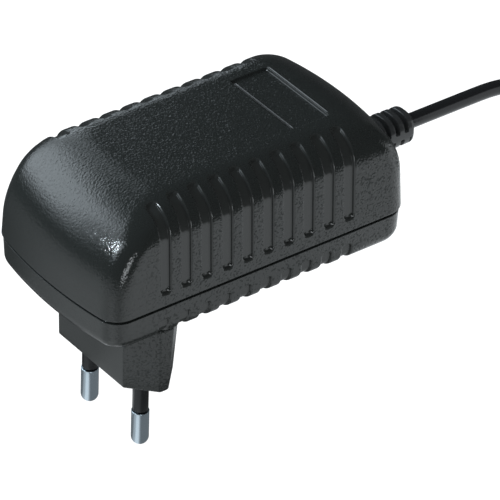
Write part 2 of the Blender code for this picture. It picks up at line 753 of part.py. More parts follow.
choke_x = BOARD_FRONT_X + CHOKE_FRONT_IN
choke_y = right + CHOKE_RIGHT_IN
choke_z = deck + CHOKE_WIRE + GAP + CHOKE_HEIGHT / 2
choke = box("choke_core", (CHOKE_LENGTH, CHOKE_WIDTH, CHOKE_HEIGHT), (choke_x, choke_y, choke_z), FERRITE)
window = (CHOKE_LENGTH - 2 * CHOKE_LEG, CHOKE_WIDTH - 2 * CHOKE_LEG, CHOKE_HEIGHT * 2)
boolean(choke, box("choke_window", window, (choke_x, choke_y, choke_z), cutter=True))


def loop_round(name, inner_a, inner_b, thick, length, centre, axis, look):
    """Rectangular loop round an axis with its corners cut off."""
    outlines = []
    for grow in (thick, 0.0):
        cut = 0.0002 + 0.45 * grow
        wa, wb = inner_a / 2 + grow, inner_b / 2 + grow
        outlines.append([(-wa + cut, -wb), (wa - cut, -wb), (wa, -wb + cut), (wa, wb - cut),
                         (wa - cut, wb), (-wa + cut, wb), (-wa, wb - cut), (-wa, -wb + cut)])
    return extruded(name, outlines, length, centre, axis, look)


leg_room_y = CHOKE_LEG + 2 * GAP + 0.0002
leg_room_z = CHOKE_HEIGHT + 2 * GAP + 0.0002
leg_offset = (CHOKE_WIDTH - CHOKE_LEG) / 2
for side, word in ((-1, "right"), (1, "left")):
    loop_round("choke_winding_" + word, leg_room_y, leg_room_z, CHOKE_WIRE - 0.0001,
               CHOKE_LENGTH - 2 * CHOKE_LEG - 2 * GAP,
               (choke_x, choke_y + side * leg_offset, choke_z), 'X', COPPER)

box("bridge_rectifier", (BRIDGE_LENGTH, BRIDGE_WIDTH, BRIDGE_HEIGHT),
    (BOARD_FRONT_X + BRIDGE_FRONT_IN, right + BRIDGE_RIGHT_IN, deck + BRIDGE_HEIGHT / 2), DARK_BODY, 0.0004)

bulk_low_y = choke_y + CHOKE_WIDTH / 2 + BULK_GAP
bulk_high_y = left - BULK_LEFT_IN
bulk_low_x = BOARD_FRONT_X + X_CAP_FRONT_IN + X_CAP_LENGTH / 2 + BULK_FRONT_GAP
bulk_high_x = BOARD_FRONT_X + CORE_FRONT_IN - BULK_BACK_GAP
bulk_radius = min(bulk_high_y - bulk_low_y, bulk_high_x - bulk_low_x) / 2
turned("bulk_capacitor", can(bulk_radius, deck, TOP_Z - WALL - BULK_HEAD_ROOM, CAN_EDGE),
       ((0.06, 0.09, 0.2), 0.0, 0.35),
       ((bulk_low_x + bulk_high_x) / 2, (bulk_low_y + bulk_high_y) / 2, 0), steps=24)

# Transformer: two E cores closed on a bobbin, centre leg along y; the legs are shares of the core

core_x = BOARD_BACK_X - CORE_BACK_IN - BOARD_FRONT_X - CORE_FRONT_IN
core_y = BOARD_WIDTH - CORE_RIGHT_IN - CORE_LEFT_IN
drum_high = room - CORE_HEAD_ROOM - BOBBIN_BASE - GAP
core_z = 0.44 * drum_high
outer_leg, centre_leg, yoke = 0.13 * core_x, 0.29 * core_x, 0.14 * core_y
tx = BOARD_FRONT_X + CORE_FRONT_IN + core_x / 2
ty = right + CORE_RIGHT_IN + core_y / 2
tz = deck + BOBBIN_BASE + GAP + drum_high / 2
trans_core = box("transformer_core", (core_x, core_y, core_z), (tx, ty, tz), FERRITE)
window_x = (core_x - 2 * outer_leg - centre_leg) / 2
for side, word in ((-1, "front"), (1, "back")):
    centre = (tx + side * (centre_leg + window_x) / 2, ty, tz)
    boolean(trans_core, box("core_window_" + word, (window_x, core_y - 2 * yoke, 2 * core_z), centre, cutter=True))
room_y = core_y - 2 * yoke - 2 * GAP
wide_x = centre_leg + 2 * window_x - 2 * GAP
cheek_high = deck + BOBBIN_BASE + GAP + drum_high
inner_y = room_y / 2 - BOBBIN_CHEEK
bobbin_high = cheek_high - deck
bobbin = box("transformer_bobbin", (wide_x, room_y, bobbin_high), (tx, ty, deck + bobbin_high / 2), DARK_BODY)
winding_room = (2 * wide_x, 2 * inner_y, 2 * (bobbin_high - BOBBIN_BASE))
boolean(bobbin, box("winding_room", winding_room, (tx, ty, cheek_high), cutter=True))
leg_room = (centre_leg + 2 * GAP, 2 * core_y, core_z + 2 * GAP)
boolean(bobbin, box("leg_room", leg_room, (tx, ty, tz), cutter=True))
wind_thick = min((wide_x - centre_leg) / 2 - 2 * GAP, (drum_high - core_z) / 2 - 2 * GAP)
loop_round("transformer_winding", centre_leg + 2 * GAP, core_z + 2 * GAP, wind_thick,
           2 * (inner_y - GAP), (tx, ty, tz), 'Y', ((0.8, 0.66, 0.12), 0.0, 0.35))

# Heatsinks with their transistor and diode

sink_high = room - SINK_HEAD_ROOM
sink_long = core_x - SINK_SHORTER
sink_y = right + SINK_SIDE_IN
box("primary_heatsink", (sink_long, SINK_THICK, sink_high), (tx, sink_y, deck + sink_high / 2), ALUMINIUM, 0.0002)


def package_profile(front):
    """Side outline of a tab package: a thin metal tab with a thicker body on its lower part."""
    tab_high = sink_high - TAB_BELOW_SINK
    body_high = 0.61 * tab_high
    s = front
    return [(0, 0), (s * PACKAGE_THICK, 0), (s * PACKAGE_THICK, body_high - PACKAGE_EDGE),
            (s * (PACKAGE_THICK - PACKAGE_EDGE), body_high), (s * TAB_THICK, body_high),
            (s * TAB_THICK, tab_high), (0, tab_high)]


tab_face = sink_y + SINK_THICK / 2 + GAP
extruded("switch_transistor", [package_profile(1)], 4 / 7 * sink_long, (tx, tab_face, deck), 'X', DARK_BODY)

out_sink_x = BOARD_BACK_X - OUT_SINK_BACK_IN
out_sink_y = left - SINK_SIDE_IN
box("output_heatsink", (OUT_SINK_LENGTH, SINK_THICK, sink_high), (out_sink_x, out_sink_y, deck + sink_high / 2),
    ALUMINIUM, 0.0002)
tab_face = out_sink_y - SINK_THICK / 2 - GAP
extruded("output_diode", [package_profile(-1)], 5 / 7 * OUT_SINK_LENGTH, (out_sink_x, tab_face, deck), 'X', DARK_BODY)

# Small parts of the output side

disc = Y_CAP_RADIUS
flat = Y_CAP_THICK / 2
turned("y_capacitor", [(0, -flat), (disc - Y_CAP_EDGE, -flat), (disc, Y_CAP_EDGE - flat),
                       (disc, flat - Y_CAP_EDGE), (disc - Y_CAP_EDGE, flat), (0, flat)],
       ((0.1, 0.25, 0.55), 0.0, 0.4), (BOARD_BACK_X - Y_CAP_BACK_IN, right + Y_CAP_RIGHT_IN, deck + disc), 'Y',
       steps=22)

opto_y = right + OPTO_RIGHT_IN
box("optocoupler", (OPTO_LENGTH, OPTO_WIDTH, OPTO_HEIGHT),
    (BOARD_BACK_X - OPTO_BACK_IN, opto_y, deck + OPTO_HEIGHT / 2), ((0.85, 0.85, 0.83), 0.0, 0.5), 0.0003)

cap_low_y = opto_y + OPTO_WIDTH / 2 + OUT_CAP_RIGHT_GAP
cap_high_y = tab_face - PACKAGE_THICK - OUT_CAP_LEFT_GAP
cap_low_x = BOARD_BACK_X - CORE_BACK_IN + OUT_CAP_FRONT_GAP
cap_high_x = BOARD_BACK_X - INDUCTOR_BACK_IN - INDUCTOR_RADIUS - OUT_CAP_BACK_GAP
cap_radius = min(cap_high_y - cap_low_y, cap_high_x - cap_low_x) / 2
turned("output_capacitor_large", can(cap_radius, deck, TOP_Z - WALL - OUT_CAP_HEAD_ROOM, CAN_EDGE),
       ((0.1, 0.12, 0.13), 0.0, 0.35), ((cap_low_x + cap_high_x) / 2, (cap_low_y + cap_high_y) / 2, 0))
turned("output_capacitor_small", can(SMALL_CAP_RADIUS, deck, TOP_Z - WALL - SMALL_CAP_HEAD_ROOM, CAN_EDGE),
       ((0.1, 0.12, 0.13), 0.0, 0.35), (BOARD_BACK_X - SMALL_CAP_BACK_IN, right + SMALL_CAP_RIGHT_IN, 0))
coil_top = deck + INDUCTOR_HEIGHT
turned("output_inductor", [(0, deck), (INDUCTOR_RADIUS, deck), (INDUCTOR_RADIUS, deck + INDUCTOR_FLANGE),
                           (INDUCTOR_WAIST, deck + INDUCTOR_FLANGE), (INDUCTOR_WAIST, coil_top - INDUCTOR_FLANGE),
                           (INDUCTOR_RADIUS, coil_top - INDUCTOR_FLANGE), (INDUCTOR_RADIUS, coil_top),
                           (0, coil_top)],
       FERRITE, (BOARD_BACK_X - INDUCTOR_BACK_IN, left - INDUCTOR_LEFT_IN, 0))

# Strain relief

relief_start = BODY_BACK_X + GAP


def squarish(x, half_y, low, high, power=2.6, steps=20):
    middle = (low + high) / 2
    tall = (high - low) / 2
    ring = []
    for k in range(steps):
        t = 2 * math.pi * k / steps
        c, s = math.cos(t), math.sin(t)
        ring.append(Vector((x, math.copysign(abs(c) ** (2 / power), c) * half_y,
                            middle + math.copysign(abs(s) ** (2 / power), s) * tall)))
    return ring


wall_in = BODY_BACK_X - WALL - DRAFT * 0.4 - GAP - 0.0002
rings = []
for x in (wall_in - FLANGE_THICK, wall_in):
    rings.append(squarish(x, FLANGE_HALF, CORD_Z - FLANGE_HALF + GAP, CORD_Z + FLANGE_HALF, 6))
for x in (wall_in, relief_start):
    rings.append(squarish(x, NECK_HALF, neck_low, neck_top, 12))
length = RELIEF_END_X - relief_start
for x in (relief_start, RELIEF_END_X - RELIEF_DOME):
    half = RELIEF_ROOT_HALF + (RELIEF_END_HALF - RELIEF_ROOT_HALF) * (x - relief_start) / length
    rings.append(squarish(x, half, CORD_Z - half, CORD_Z + half))
for k in range(1, 5):
    t = math.pi / 2 * k / 4
    x = RELIEF_END_X - RELIEF_DOME + RELIEF_DOME * math.sin(t)
    half = RELIEF_END_HALF - RELIEF_DOME * (1 - math.cos(t)) * 0.95
    rings.append(squarish(x, half, CORD_Z - half, CORD_Z + half))
relief = skin("strain_relief", rings, BLACK)

for side, word, shift, dip in ((1, "above", 0.0, SPINE_TOP), (-1, "beneath", RIB_PITCH / 2, SPINE_LOW)):
    begin = math.asin(-side * dip / RELIEF_CORE)
    arc = [begin + (math.pi - 2 * begin) * i / 8 for i in range(9)]
    ring_in = [(RELIEF_CORE * math.cos(t), side * RELIEF_CORE * math.sin(t)) for t in arc]
    far = 2.2 * RELIEF_ROOT_HALF
    edge_z = ring_in[0][1]
    outline = ring_in + [(-far, edge_z), (-far, side * far), (far, side * far), (far, edge_z)]
    place = (RIB_LAST_X + shift, 0, CORD_Z)
    slots = as_mesh(extruded("slots_" + word, [outline], RIB_SLOT, place, 'X', cutter=True))
    step = slots.modifiers.new("row", 'ARRAY')
    step.count = RIB_COUNT
    step.use_relative_offset = False
    step.use_constant_offset = True
    step.constant_offset_displace = (0, 0, -RIB_PITCH)
    boolean(relief, slots)

# Leads inside the case

stub_top = floor_top + GAP + PIN_COLLAR_HEIGHT + PIN_STUB
lead = MAINS_LEAD
for side, word in ((-1, "right"), (1, "left")):
    y = side * PIN_PITCH / 2
    edge_x = BOARD_FRONT_X - GAP - lead / 2
    route = [(-PIN_CORE / 2 - GAP, y, stub_top - lead / 2), (-4 * lead, y * 0.62, stub_top - lead / 3),
             (edge_x + 1.3 * lead, y * 0.42, board_low - 1.2 * lead),
             (edge_x - GAP, y * 0.32, BOARD_TOP_Z - 0.7 * lead),
             (edge_x + 0.7 * lead, y * 0.26, BOARD_TOP_Z + 1.2 * lead),
             (BOARD_FRONT_X + lead, y * 0.24, deck + 0.9 * lead)]
    colour = (0.35, 0.14, 0.06) if side > 0 else (0.05, 0.12, 0.4)
    tube("mains_lead_" + word, route, lead, (colour, 0.0, 0.5), 0.0011)
flange_face = wall_in - FLANGE_THICK - GAP
lead = OUTPUT_LEAD
for side, word in ((-1, "minus"), (1, "plus")):
    y = side * OUTPUT_LEAD_OFF
    route = [(flange_face, y, CORD_Z), (flange_face - 1.5 * lead, y, CORD_Z - 0.55 * lead),
             (flange_face - 2.7 * lead, y * 1.1, CORD_Z - 2.5 * lead),
             (flange_face - 3.1 * lead, y * 1.2, deck + 0.2 * lead)]
    colour = (0.5, 0.03, 0.03) if side > 0 else (0.02, 0.02, 0.02)
    tube("output_lead_" + word, route, lead, (colour, 0.0, 0.5), 0.0009)

# Cord, coil, tie, tail and plug

cord_radius = CORD_DIAMETER / 2
route = [(RELIEF_END_X + GAP, 0, CORD_Z), (0.0890, 0, CORD_Z), (0.0980, 0, CORD_Z),
         (STRAIGHT_END_X, 0, CORD_Z - 0.0001), (0.1180, -0.0010, 0.0262), (0.1300, -0.0045, 0.0145),
         (0.1385, -0.0105, -0.0010), (0.1452, -0.0165, -0.0122), (0.1520, -0.0200, -0.0160),
         (0.1601, -0.0206, COIL_BOTTOM_Z + cord_radius)]
tube("cord", route, CORD_DIAMETER, SOFT_BLACK, 0.0070)

coil_edge = 0.0015
profile = []
coil_corners = ((COIL_OUTER - coil_edge, COIL_BOTTOM_Z + coil_edge, -1),
                (COIL_OUTER - coil_edge, COIL_TOP_Z - coil_edge, 0),
                (COIL_INNER + coil_edge, COIL_TOP_Z - coil_edge, 1),
                (COIL_INNER + coil_edge, COIL_BOTTOM_Z + coil_edge, 2))
for cr, cz, first in coil_corners:
    for k in range(3):
        t = math.pi / 2 * (first + k / 2)
        profile.append((cr + coil_edge * math.cos(t), cz + coil_edge * math.sin(t)))
turned("cord_coil", profile, SOFT_BLACK, (COIL_X, 0, 0), steps=32)

tie_y = (COIL_INNER + COIL_OUTER) / 2
tie_hole_y = COIL_OUTER - COIL_INNER + 4 * GAP
tie_hole_z = COIL_HEIGHT + 2 * (COIL_BOTTOM_Z - FLOOR_Z - TIE_THICK)
loop_round("cord_tie", tie_hole_y, tie_hole_z, TIE_THICK, TIE_WIDTH,
           (COIL_X, tie_y - 0.0001, COIL_BOTTOM_Z + COIL_HEIGHT / 2), 'X', SOFT_BLACK)

plug_z = COIL_TOP_Z + GAP + PLUG_BODY_DIAMETER / 2
barrel = BARREL_OUTER / 2
barrel_in = barrel - BARREL_WALL
seat = 0.0030
body_x = PLUG_TIP_X + BARREL_LENGTH
x0 = body_x - PLUG_TIP_X
turned("plug_barrel", [(barrel_in, 0.0002), (barrel_in + 0.0001, 0.0), (barrel - 0.0002, 0.0), (barrel, 0.0002),
                       (barrel, x0 + seat), (barrel_in, x0 + seat)],
       NICKEL, (PLUG_TIP_X, 0, plug_z), 'X', 24)
contact = CONTACT_BORE / 2 + CONTACT_WALL
insulator_out = barrel_in - GAP
insulator_in = contact + GAP
turned("plug_insulator", [(insulator_in, 0.0006), (insulator_out, 0.0006), (insulator_out, x0 + seat),
                          (insulator_in, x0 + seat)],
       ((0.03, 0.03, 0.03), 0.0, 0.5), (PLUG_TIP_X, 0, plug_z), 'X', 24)
turned("plug_contact", [(CONTACT_BORE / 2, 0.0008), (contact, 0.0008), (contact, x0 + seat),
                        (CONTACT_BORE / 2, x0 + seat)], TIN, (PLUG_TIP_X, 0, plug_z), 'X', 20)

body = PLUG_BODY_DIAMETER / 2
bore = barrel + GAP
end = x0 + PLUG_BODY_LENGTH
profile = [(0, x0 + seat + GAP), (bore, x0 + seat + GAP), (bore, x0 + GAP), (body - 0.0008, x0 + GAP),
           (body - 0.0002, x0 + GAP + 0.0002), (body, x0 + GAP + 0.0008), (body, end - 0.0050)]
profile += [(body - 0.0004, end - 0.0030), (body - 0.0012, end - 0.0008), (0.0034, end)]
for k in range(3):
    start = end + 0.0018 + 0.0030 * k
    thick = 0.0031 - 0.00018 * k
    thin = 0.0023
    profile += [(thin, end + 0.0030 * k + 0.0001), (thin, start), (thick, start + 0.0001), (thick, start + 0.0012)]
profile += [(0.0024, end + PLUG_RELIEF_LENGTH), (0, end + PLUG_RELIEF_LENGTH)]
turned("plug_body", profile, SOFT_BLACK, (PLUG_TIP_X, 0, plug_z), 'X', 20)

tail_x = PLUG_TIP_X + end + PLUG_RELIEF_LENGTH + GAP
tail_low = COIL_TOP_Z + GAP + cord_radius
route = [(tail_x, 0, plug_z), (tail_x + 0.0034, 0, plug_z), (tail_x + 0.0072, -0.0020, plug_z - 0.0008),
         (tail_x + 0.0090, -0.0064, plug_z - 0.0022), (tail_x + 0.0076, -0.0112, tail_low + 0.0002),
         (tail_x + 0.0044, -0.0152, tail_low)]
tube("cord_tail", route, CORD_DIAMETER, SOFT_BLACK, 0.0034)
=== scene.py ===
"""Plug-in LED driver dressed for the render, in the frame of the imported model. Metres, +Z up."""

import math

import bmesh
import bpy
import numpy as np
from mathutils import Matrix, Vector


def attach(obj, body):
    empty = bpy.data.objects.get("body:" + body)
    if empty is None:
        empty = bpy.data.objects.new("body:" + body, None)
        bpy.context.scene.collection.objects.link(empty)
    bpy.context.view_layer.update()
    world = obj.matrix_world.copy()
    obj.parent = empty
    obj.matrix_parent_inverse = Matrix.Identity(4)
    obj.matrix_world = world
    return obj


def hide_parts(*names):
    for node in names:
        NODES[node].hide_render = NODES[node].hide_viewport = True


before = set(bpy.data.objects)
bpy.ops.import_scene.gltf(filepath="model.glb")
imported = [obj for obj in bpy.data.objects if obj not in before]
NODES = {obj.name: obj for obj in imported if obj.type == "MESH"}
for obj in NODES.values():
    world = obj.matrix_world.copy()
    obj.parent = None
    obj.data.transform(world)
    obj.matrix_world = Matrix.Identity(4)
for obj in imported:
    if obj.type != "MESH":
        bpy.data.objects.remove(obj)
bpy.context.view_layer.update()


def placed(name, data):
    """New object in the scene."""
    made = bpy.data.objects.new(name, data)
    bpy.context.scene.collection.objects.link(made)
    return made


def seen_from(azimuth, elevation):
    """Direction towards an azimuth and elevation; azimuth 0 is towards -Y and 90 degrees towards +X."""
    return Vector((math.sin(azimuth) * math.cos(elevation), -math.cos(azimuth) * math.cos(elevation),
                   math.sin(elevation)))


# Camera at the photograph's viewing angle

AZIMUTH = math.radians(-37.58)
ELEVATION = math.radians(35.23)
ROLL = math.radians(1.86)
DISTANCE = 1.30011
SHIFT_RIGHT = 0.02927
SHIFT_UP = 0.02199
LENS = 429.7

back = seen_from(AZIMUTH, ELEVATION)
level_right = Vector((math.cos(AZIMUTH), math.sin(AZIMUTH), 0))
level_up = back.cross(level_right)
camera_right = math.cos(ROLL) * level_right + math.sin(ROLL) * level_up
camera_up = -math.sin(ROLL) * level_right + math.cos(ROLL) * level_up
camera_data = bpy.data.cameras.new("camera")
camera_data.lens = LENS
camera_data.sensor_width = 36.0
camera_data.clip_start = 0.05
camera_data.clip_end = 20.0
camera = placed("camera", camera_data)
stand = camera_right * SHIFT_RIGHT + camera_up * SHIFT_UP + back * DISTANCE
turn = Matrix((camera_right, camera_up, back)).transposed().to_4x4()
camera.matrix_world = Matrix.Translation(stand) @ turn
bpy.context.scene.camera = camera
bpy.context.scene.view_settings.view_transform = 'Standard'

# Sizes of the case in millimetres, as in the solid model

WIDTH = 44.6
FRONT_X, BACK_X = -18.8, 64.4
UNDERSIDE, PARTING, TOP = 17.5, 26.4, 50.3
DRAFT = 1.0
FRONT_BOW, BACK_BOW = 2.2, 2.8
CORNER, LEAST_CORNER = 5.3, 1.2
# How much an outline's corner tightens for each millimetre that the outline lies further in
UPPER_TIGHTER, LOWER_TIGHTER = 0.8, 0.6
FRONT_ROUND, BACK_ROUND, SHOULDER = 18.6, 14.9, 8.0
BOTTOM_EDGE, LOWER_INSET, LOWER_DRAFT = 3.8, 0.3, 0.4
HALF_GAP = 0.15
WALL = 2.0
REBATE_Z = 25.72
SEAM_FRONT, SEAM_BACK, SEAM_Z = -5.3, 48.3, 28.9
CORD_Z = 30.2
FLOOR_Z = -19.05

# Grooves, the upper ones from their foot to their head and the lower ones from their head down

GROOVES = 10
PITCH = 5.43
FIRST_X = -3.05
GROOVE_HALF = 1.45
GROOVE_DEPTH = 0.7
FOOT_Z, HEAD_Y, UPPER_END_ROUND = 29.4, 15.1, 1.42
LOW_HEAD_Z, LOW_RUN, LOWER_END_ROUND = 22.8, 2.2, 0.9
# Section of a groove's wall: a rounded lip, a steep foot, a small fillet at the floor
LIP_REACH = 0.25
WALL_ACROSS = (0.0, 0.10, 0.20, 0.30, 0.40, 0.46, 0.49, 0.55, 0.60)
WALL_SHARE = (0.0, 0.0144, 0.0596, 0.143, 0.286, 0.434, 0.571, 0.97, 1.0)
# Past this share of a groove's depth, or of a rib, the surface has a near-flat grain instead of the pebble,
# and its base is painted lighter to offset the shade inside the grooves
SLEEK_PAINTED_LIGHTER_FROM = 0.04

# Label place, with its ribs as places along the case and heights

LABEL_X, LABEL_HALF_X, LABEL_HALF_Y, LABEL_DEPTH, LABEL_ROUND = 42.62, 4.99, 11.3, 0.6, 0.6
# Its wall starts this far outside its edge and takes this run down to the floor
LABEL_LIP, LABEL_RUN = 0.05, 0.22
RIBS = ((38.16, 0.16), (38.64, 0.20), (47.52, 0.16), (47.98, 0.18))
# A rib starts this far from the label's side walls and takes this run up to its height
RIB_HALF, RIB_MARGIN, RIB_END, RIB_RUN = 0.15, 0.06, 0.2, 0.3


# Materials


def new_material(name, colour, roughness, metallic=0.0, specular=0.5):
    made = bpy.data.materials.new(name)
    made.use_nodes = True
    shader = made.node_tree.nodes["Principled BSDF"]
    shader.inputs["Base Color"].default_value = (*colour, 1.0)
    shader.inputs["Roughness"].default_value = roughness
    shader.inputs["Metallic"].default_value = metallic
    shader.inputs["Specular IOR Level"].default_value = specular
    return made


def stepped(tree, value, start, end, low, high):
    """Number that passes smoothly from low to high while a value goes from start to end."""
    made = tree.nodes.new("ShaderNodeMapRange")
    made.interpolation_type = 'SMOOTHSTEP'
    for word, number in (("From Min", start), ("From Max", end), ("To Min", low), ("To Max", high)):
        made.inputs[word].default_value = number
    tree.links.new(value, made.inputs["Value"])
    return made.outputs["Result"]


def grained(name, colour, roughness, scale, depth, metallic=0.0, specular=0.5):
    """Material with a fine pebble: noise in the object's own coordinates, through a bump."""
    made = new_material(name, colour, roughness, metallic, specular)
    tree = made.node_tree
    place = tree.nodes.new("ShaderNodeTexCoord")
    noise = tree.nodes.new("ShaderNodeTexNoise")
    noise.inputs["Scale"].default_value = scale
    noise.inputs["Detail"].default_value = 1.0
    noise.inputs["Roughness"].default_value = 0.55
    tree.links.new(place.outputs["Object"], noise.inputs["Vector"])
    bump = tree.nodes.new("ShaderNodeBump")
    bump.inputs["Distance"].default_value = depth
    tree.links.new(noise.outputs["Fac"], bump.inputs["Height"])
    tree.links.new(bump.outputs["Normal"], tree.nodes["Principled BSDF"].inputs["Normal"])
    return made


# The front's flatter grain ends and the full grain starts at these places along X, in metres
FLAT_ENDS, FULL_STARTS = -0.013, 0.002
FLAT_STRENGTH = 0.60
PITS_FROM, PITS_FULL = 0.57, 0.68
GLOSS, FRONT_PIT_GLOSS, PIT_GLOSS = 0.51, 0.42, 0.22


def add_pits(made, scale):
    """Dull specks where a second noise runs high, and a flatter grain on the front of the case."""
    tree = made.node_tree
    place = tree.nodes.new("ShaderNodeTexCoord").outputs["Object"]
    noise = tree.nodes.new("ShaderNodeTexNoise")
    noise.inputs["Scale"].default_value = scale
    noise.inputs["Detail"].default_value = 0.0
    tree.links.new(place, noise.inputs["Vector"])
    parted = tree.nodes.new("ShaderNodeSeparateXYZ")
    tree.links.new(place, parted.inputs[0])
    gloss = stepped(tree, noise.outputs["Fac"], PITS_FROM, PITS_FULL, GLOSS, PIT_GLOSS)
    dullest = stepped(tree, parted.outputs["X"], FLAT_ENDS, FULL_STARTS, FRONT_PIT_GLOSS, PIT_GLOSS)
    tree.links.new(dullest, gloss.node.inputs["To Max"])
    tree.links.new(gloss, tree.nodes["Principled BSDF"].inputs["Specular IOR Level"])
    strength = stepped(tree, parted.outputs["X"], FLAT_ENDS, FULL_STARTS, FLAT_STRENGTH, 1.0)
    tree.links.new(strength, tree.nodes["Bump"].inputs["Strength"])


land = grained("black_pebbled", (0.0130, 0.0151, 0.0148), 0.12, 2100, 0.000102)
add_pits(land, 1900)
# Near-flat grain for groove floors and walls, ribs and the block's front face; its base is painted lighter
# than the land's to offset the shade inside the grooves
smooth_painted_lighter = grained("black_smooth_painted_lighter", (0.0170, 0.0190, 0.0186), 0.16, 900, 0.000006)
relief_black = grained("relief_black", (0.022, 0.024, 0.025), 0.18, 1500, 0.00001)
sleeve_black = grained("sleeve_black", (0.012, 0.013, 0.014), 0.20, 700, 0.000006, specular=0.38)
cord_black = grained("cord_black", (0.010, 0.011, 0.012), 0.20, 1100, 0.00001)
nickel = grained("nickel", (0.55, 0.64, 0.71), 0.20, 600, 0.000006, metallic=1.0)
board_green = grained("board_green", (0.03, 0.16, 0.07), 0.45, 500, 0.00001)
dark_plastic = grained("dark_plastic", (0.04, 0.04, 0.045), 0.5, 900, 0.00002)
light_plastic = grained("light_plastic", (0.8, 0.8, 0.78), 0.5, 900, 0.00001)
yellow_film = grained("yellow_film", (0.72, 0.56, 0.08), 0.35, 700, 0.00001)
blue_coat = grained("blue_coat", (0.05, 0.16, 0.42), 0.4, 700, 0.00001)
can_sleeve = grained("can_sleeve", (0.06, 0.08, 0.13), 0.35, 500, 0.00001)
fuse_ceramic = grained("fuse_ceramic", (0.62, 0.55, 0.42), 0.4, 700, 0.00001)
ferrite = grained("ferrite", (0.07, 0.07, 0.075), 0.7, 1500, 0.00003)
copper = grained("copper", (0.62, 0.24, 0.09), 0.3, 900, 0.00004, metallic=1.0)
sink_metal = grained("sink_metal", (0.72, 0.73, 0.74), 0.4, 900, 0.00001, metallic=1.0)
lead_cover = grained("lead_cover", (0.3, 0.04, 0.03), 0.45, 900, 0.00001)

CARRIED = {
    "fuse": fuse_ceramic, "x_capacitor": yellow_film, "choke_core": ferrite,
    "choke_winding_left": copper, "choke_winding_right": copper, "bridge_rectifier": dark_plastic,
    "bulk_capacitor": can_sleeve, "primary_heatsink": sink_metal, "switch_transistor": dark_plastic,
    "transformer_core": ferrite, "transformer_bobbin": dark_plastic, "transformer_winding": yellow_film,
    "y_capacitor": blue_coat, "optocoupler": light_plastic, "output_heatsink": sink_metal,
    "output_diode": dark_plastic, "output_capacitor_large": can_sleeve,
    "output_capacitor_small": can_sleeve, "output_inductor": ferrite, "circuit_board": board_green,
    "mains_lead_left": lead_cover, "mains_lead_right": lead_cover, "output_lead_plus": lead_cover,
    "output_lead_minus": lead_cover, "plug_insulator": dark_plastic, "plug_contact": nickel,
    "cord_tie": cord_black, "plug_barrel": nickel, "plug_body": relief_black,
}
for name, look in CARRIED.items():
    data = NODES[name].data
    data.materials.clear()
    data.materials.append(look)


def smoothstep(value):
    t = np.clip(value, 0.0, 1.0)
    return t * t * (3 - 2 * t)


# Cord: straight in view, down to the floor, round the coil and back to the plug

PLUG_Z = -2.0
TAIL_X = 191.8
TAIL_LOW = -5.15
COIL_X = 178.0
route = [(78.4, 0, 30.2), (84.0, 0, 30.2), (89.0, 0, 30.2), (98.0, 0, 30.2), (106.0, 0, 30.1),
         (118.0, -1.0, 26.2), (130.0, -4.5, 14.5), (138.5, -10.5, -1.0), (145.2, -16.5, -12.2),
         (152.0, -20.0, -16.0), (161.0, -21.4, -15.95), (168.5, -22.6, -15.95)]
LAYERS = (-15.95, -12.45, -8.95)
LANES = (23.75, 20.25, 16.75)
stations = [(lane, LAYERS[0]) for lane in LANES]
stations += [(lane, LAYERS[1]) for lane in LANES[::-1]]
stations += [(lane, LAYERS[2]) for lane in LANES]
START_ANGLE = math.radians(261.2)
PER_TURN = 20
# Where each turn moves on, as shares of a turn; a later turn moves earlier, so none cross
MOVES = (0.80, 0.80, 0.61, 0.42, 0.42, 0.22, 0.03, 0.03)
MOVE_RUN = 0.18
# The last turn ends this far on, after it has risen and swung out to the plug
LAST_STRETCH = 0.163
RISE_BEFORE, RISE_RUN = 0.33, 0.15
SWING_BEFORE, SWING_RUN = 0.17, 0.16


def coil_points():
    """Turns inside the coil's outline: three layers of three, then up and out to the plug's side."""
    made = []
    last = len(MOVES) + LAST_STRETCH
    # The drawn curve runs inside its control points, so these lie a little further out
    hug = 3 / (2 + math.cos(2 * math.pi / PER_TURN))
    for k in range(int(last * PER_TURN) + 1):
        t = k / PER_TURN
        i = min(int(t), len(MOVES) - 1)
        move = smoothstep((t - i - MOVES[i]) / MOVE_RUN)
        r = stations[i][0] + (stations[i + 1][0] - stations[i][0]) * move
        z = stations[i][1] + (stations[i + 1][1] - stations[i][1]) * move
        z += (TAIL_LOW - LAYERS[2]) * smoothstep((t - last + RISE_BEFORE) / RISE_RUN)
        r += (LANES[0] - LANES[2]) * smoothstep((t - last + SWING_BEFORE) / SWING_RUN)
        angle = START_ANGLE + 2 * math.pi * t
        made.append((COIL_X + hug * r * math.cos(angle), hug * r * math.sin(angle), z))
    return made


tail = [(TAIL_X + 7.0, -12.0, TAIL_LOW + 0.1), (TAIL_X + 9.0, -7.4, PLUG_Z - 2.4),
        (TAIL_X + 8.4, -2.9, PLUG_Z - 1.0), (TAIL_X + 5.0, -0.2, PLUG_Z - 0.1), (TAIL_X + 2.4, 0, PLUG_Z),
        (TAIL_X - 0.3, 0, PLUG_Z)]


def drawn(name, points, diameter, look):
    """Round line along points, all in millimetres."""
    data = bpy.data.curves.new(name, 'CURVE')
    data.dimensions = '3D'
    data.bevel_depth = diameter / 2000
    data.bevel_resolution = 6
    data.use_fill_caps = True
    data.resolution_u = 6
    spline = data.splines.new('NURBS')
    spline.points.add(len(points) - 1)
    for point, place in zip(spline.points, points):
        point.co = (place[0] / 1000, place[1] / 1000, place[2] / 1000, 1.0)
    spline.order_u = 4
    spline.use_endpoint_u = True
    data.materials.append(look)
    made = placed(name, data)
    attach(made, "root")
    return made


cord = drawn("cord_line", route + coil_points() + tail, 3.5, cord_black)
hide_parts("cord", "cord_coil", "cord_tail")


# Pieces from points in millimetres


def at_height(outline, z):
    """Points of a flat outline, all at one height."""
    return np.column_stack([outline, np.full(len(outline), z)])


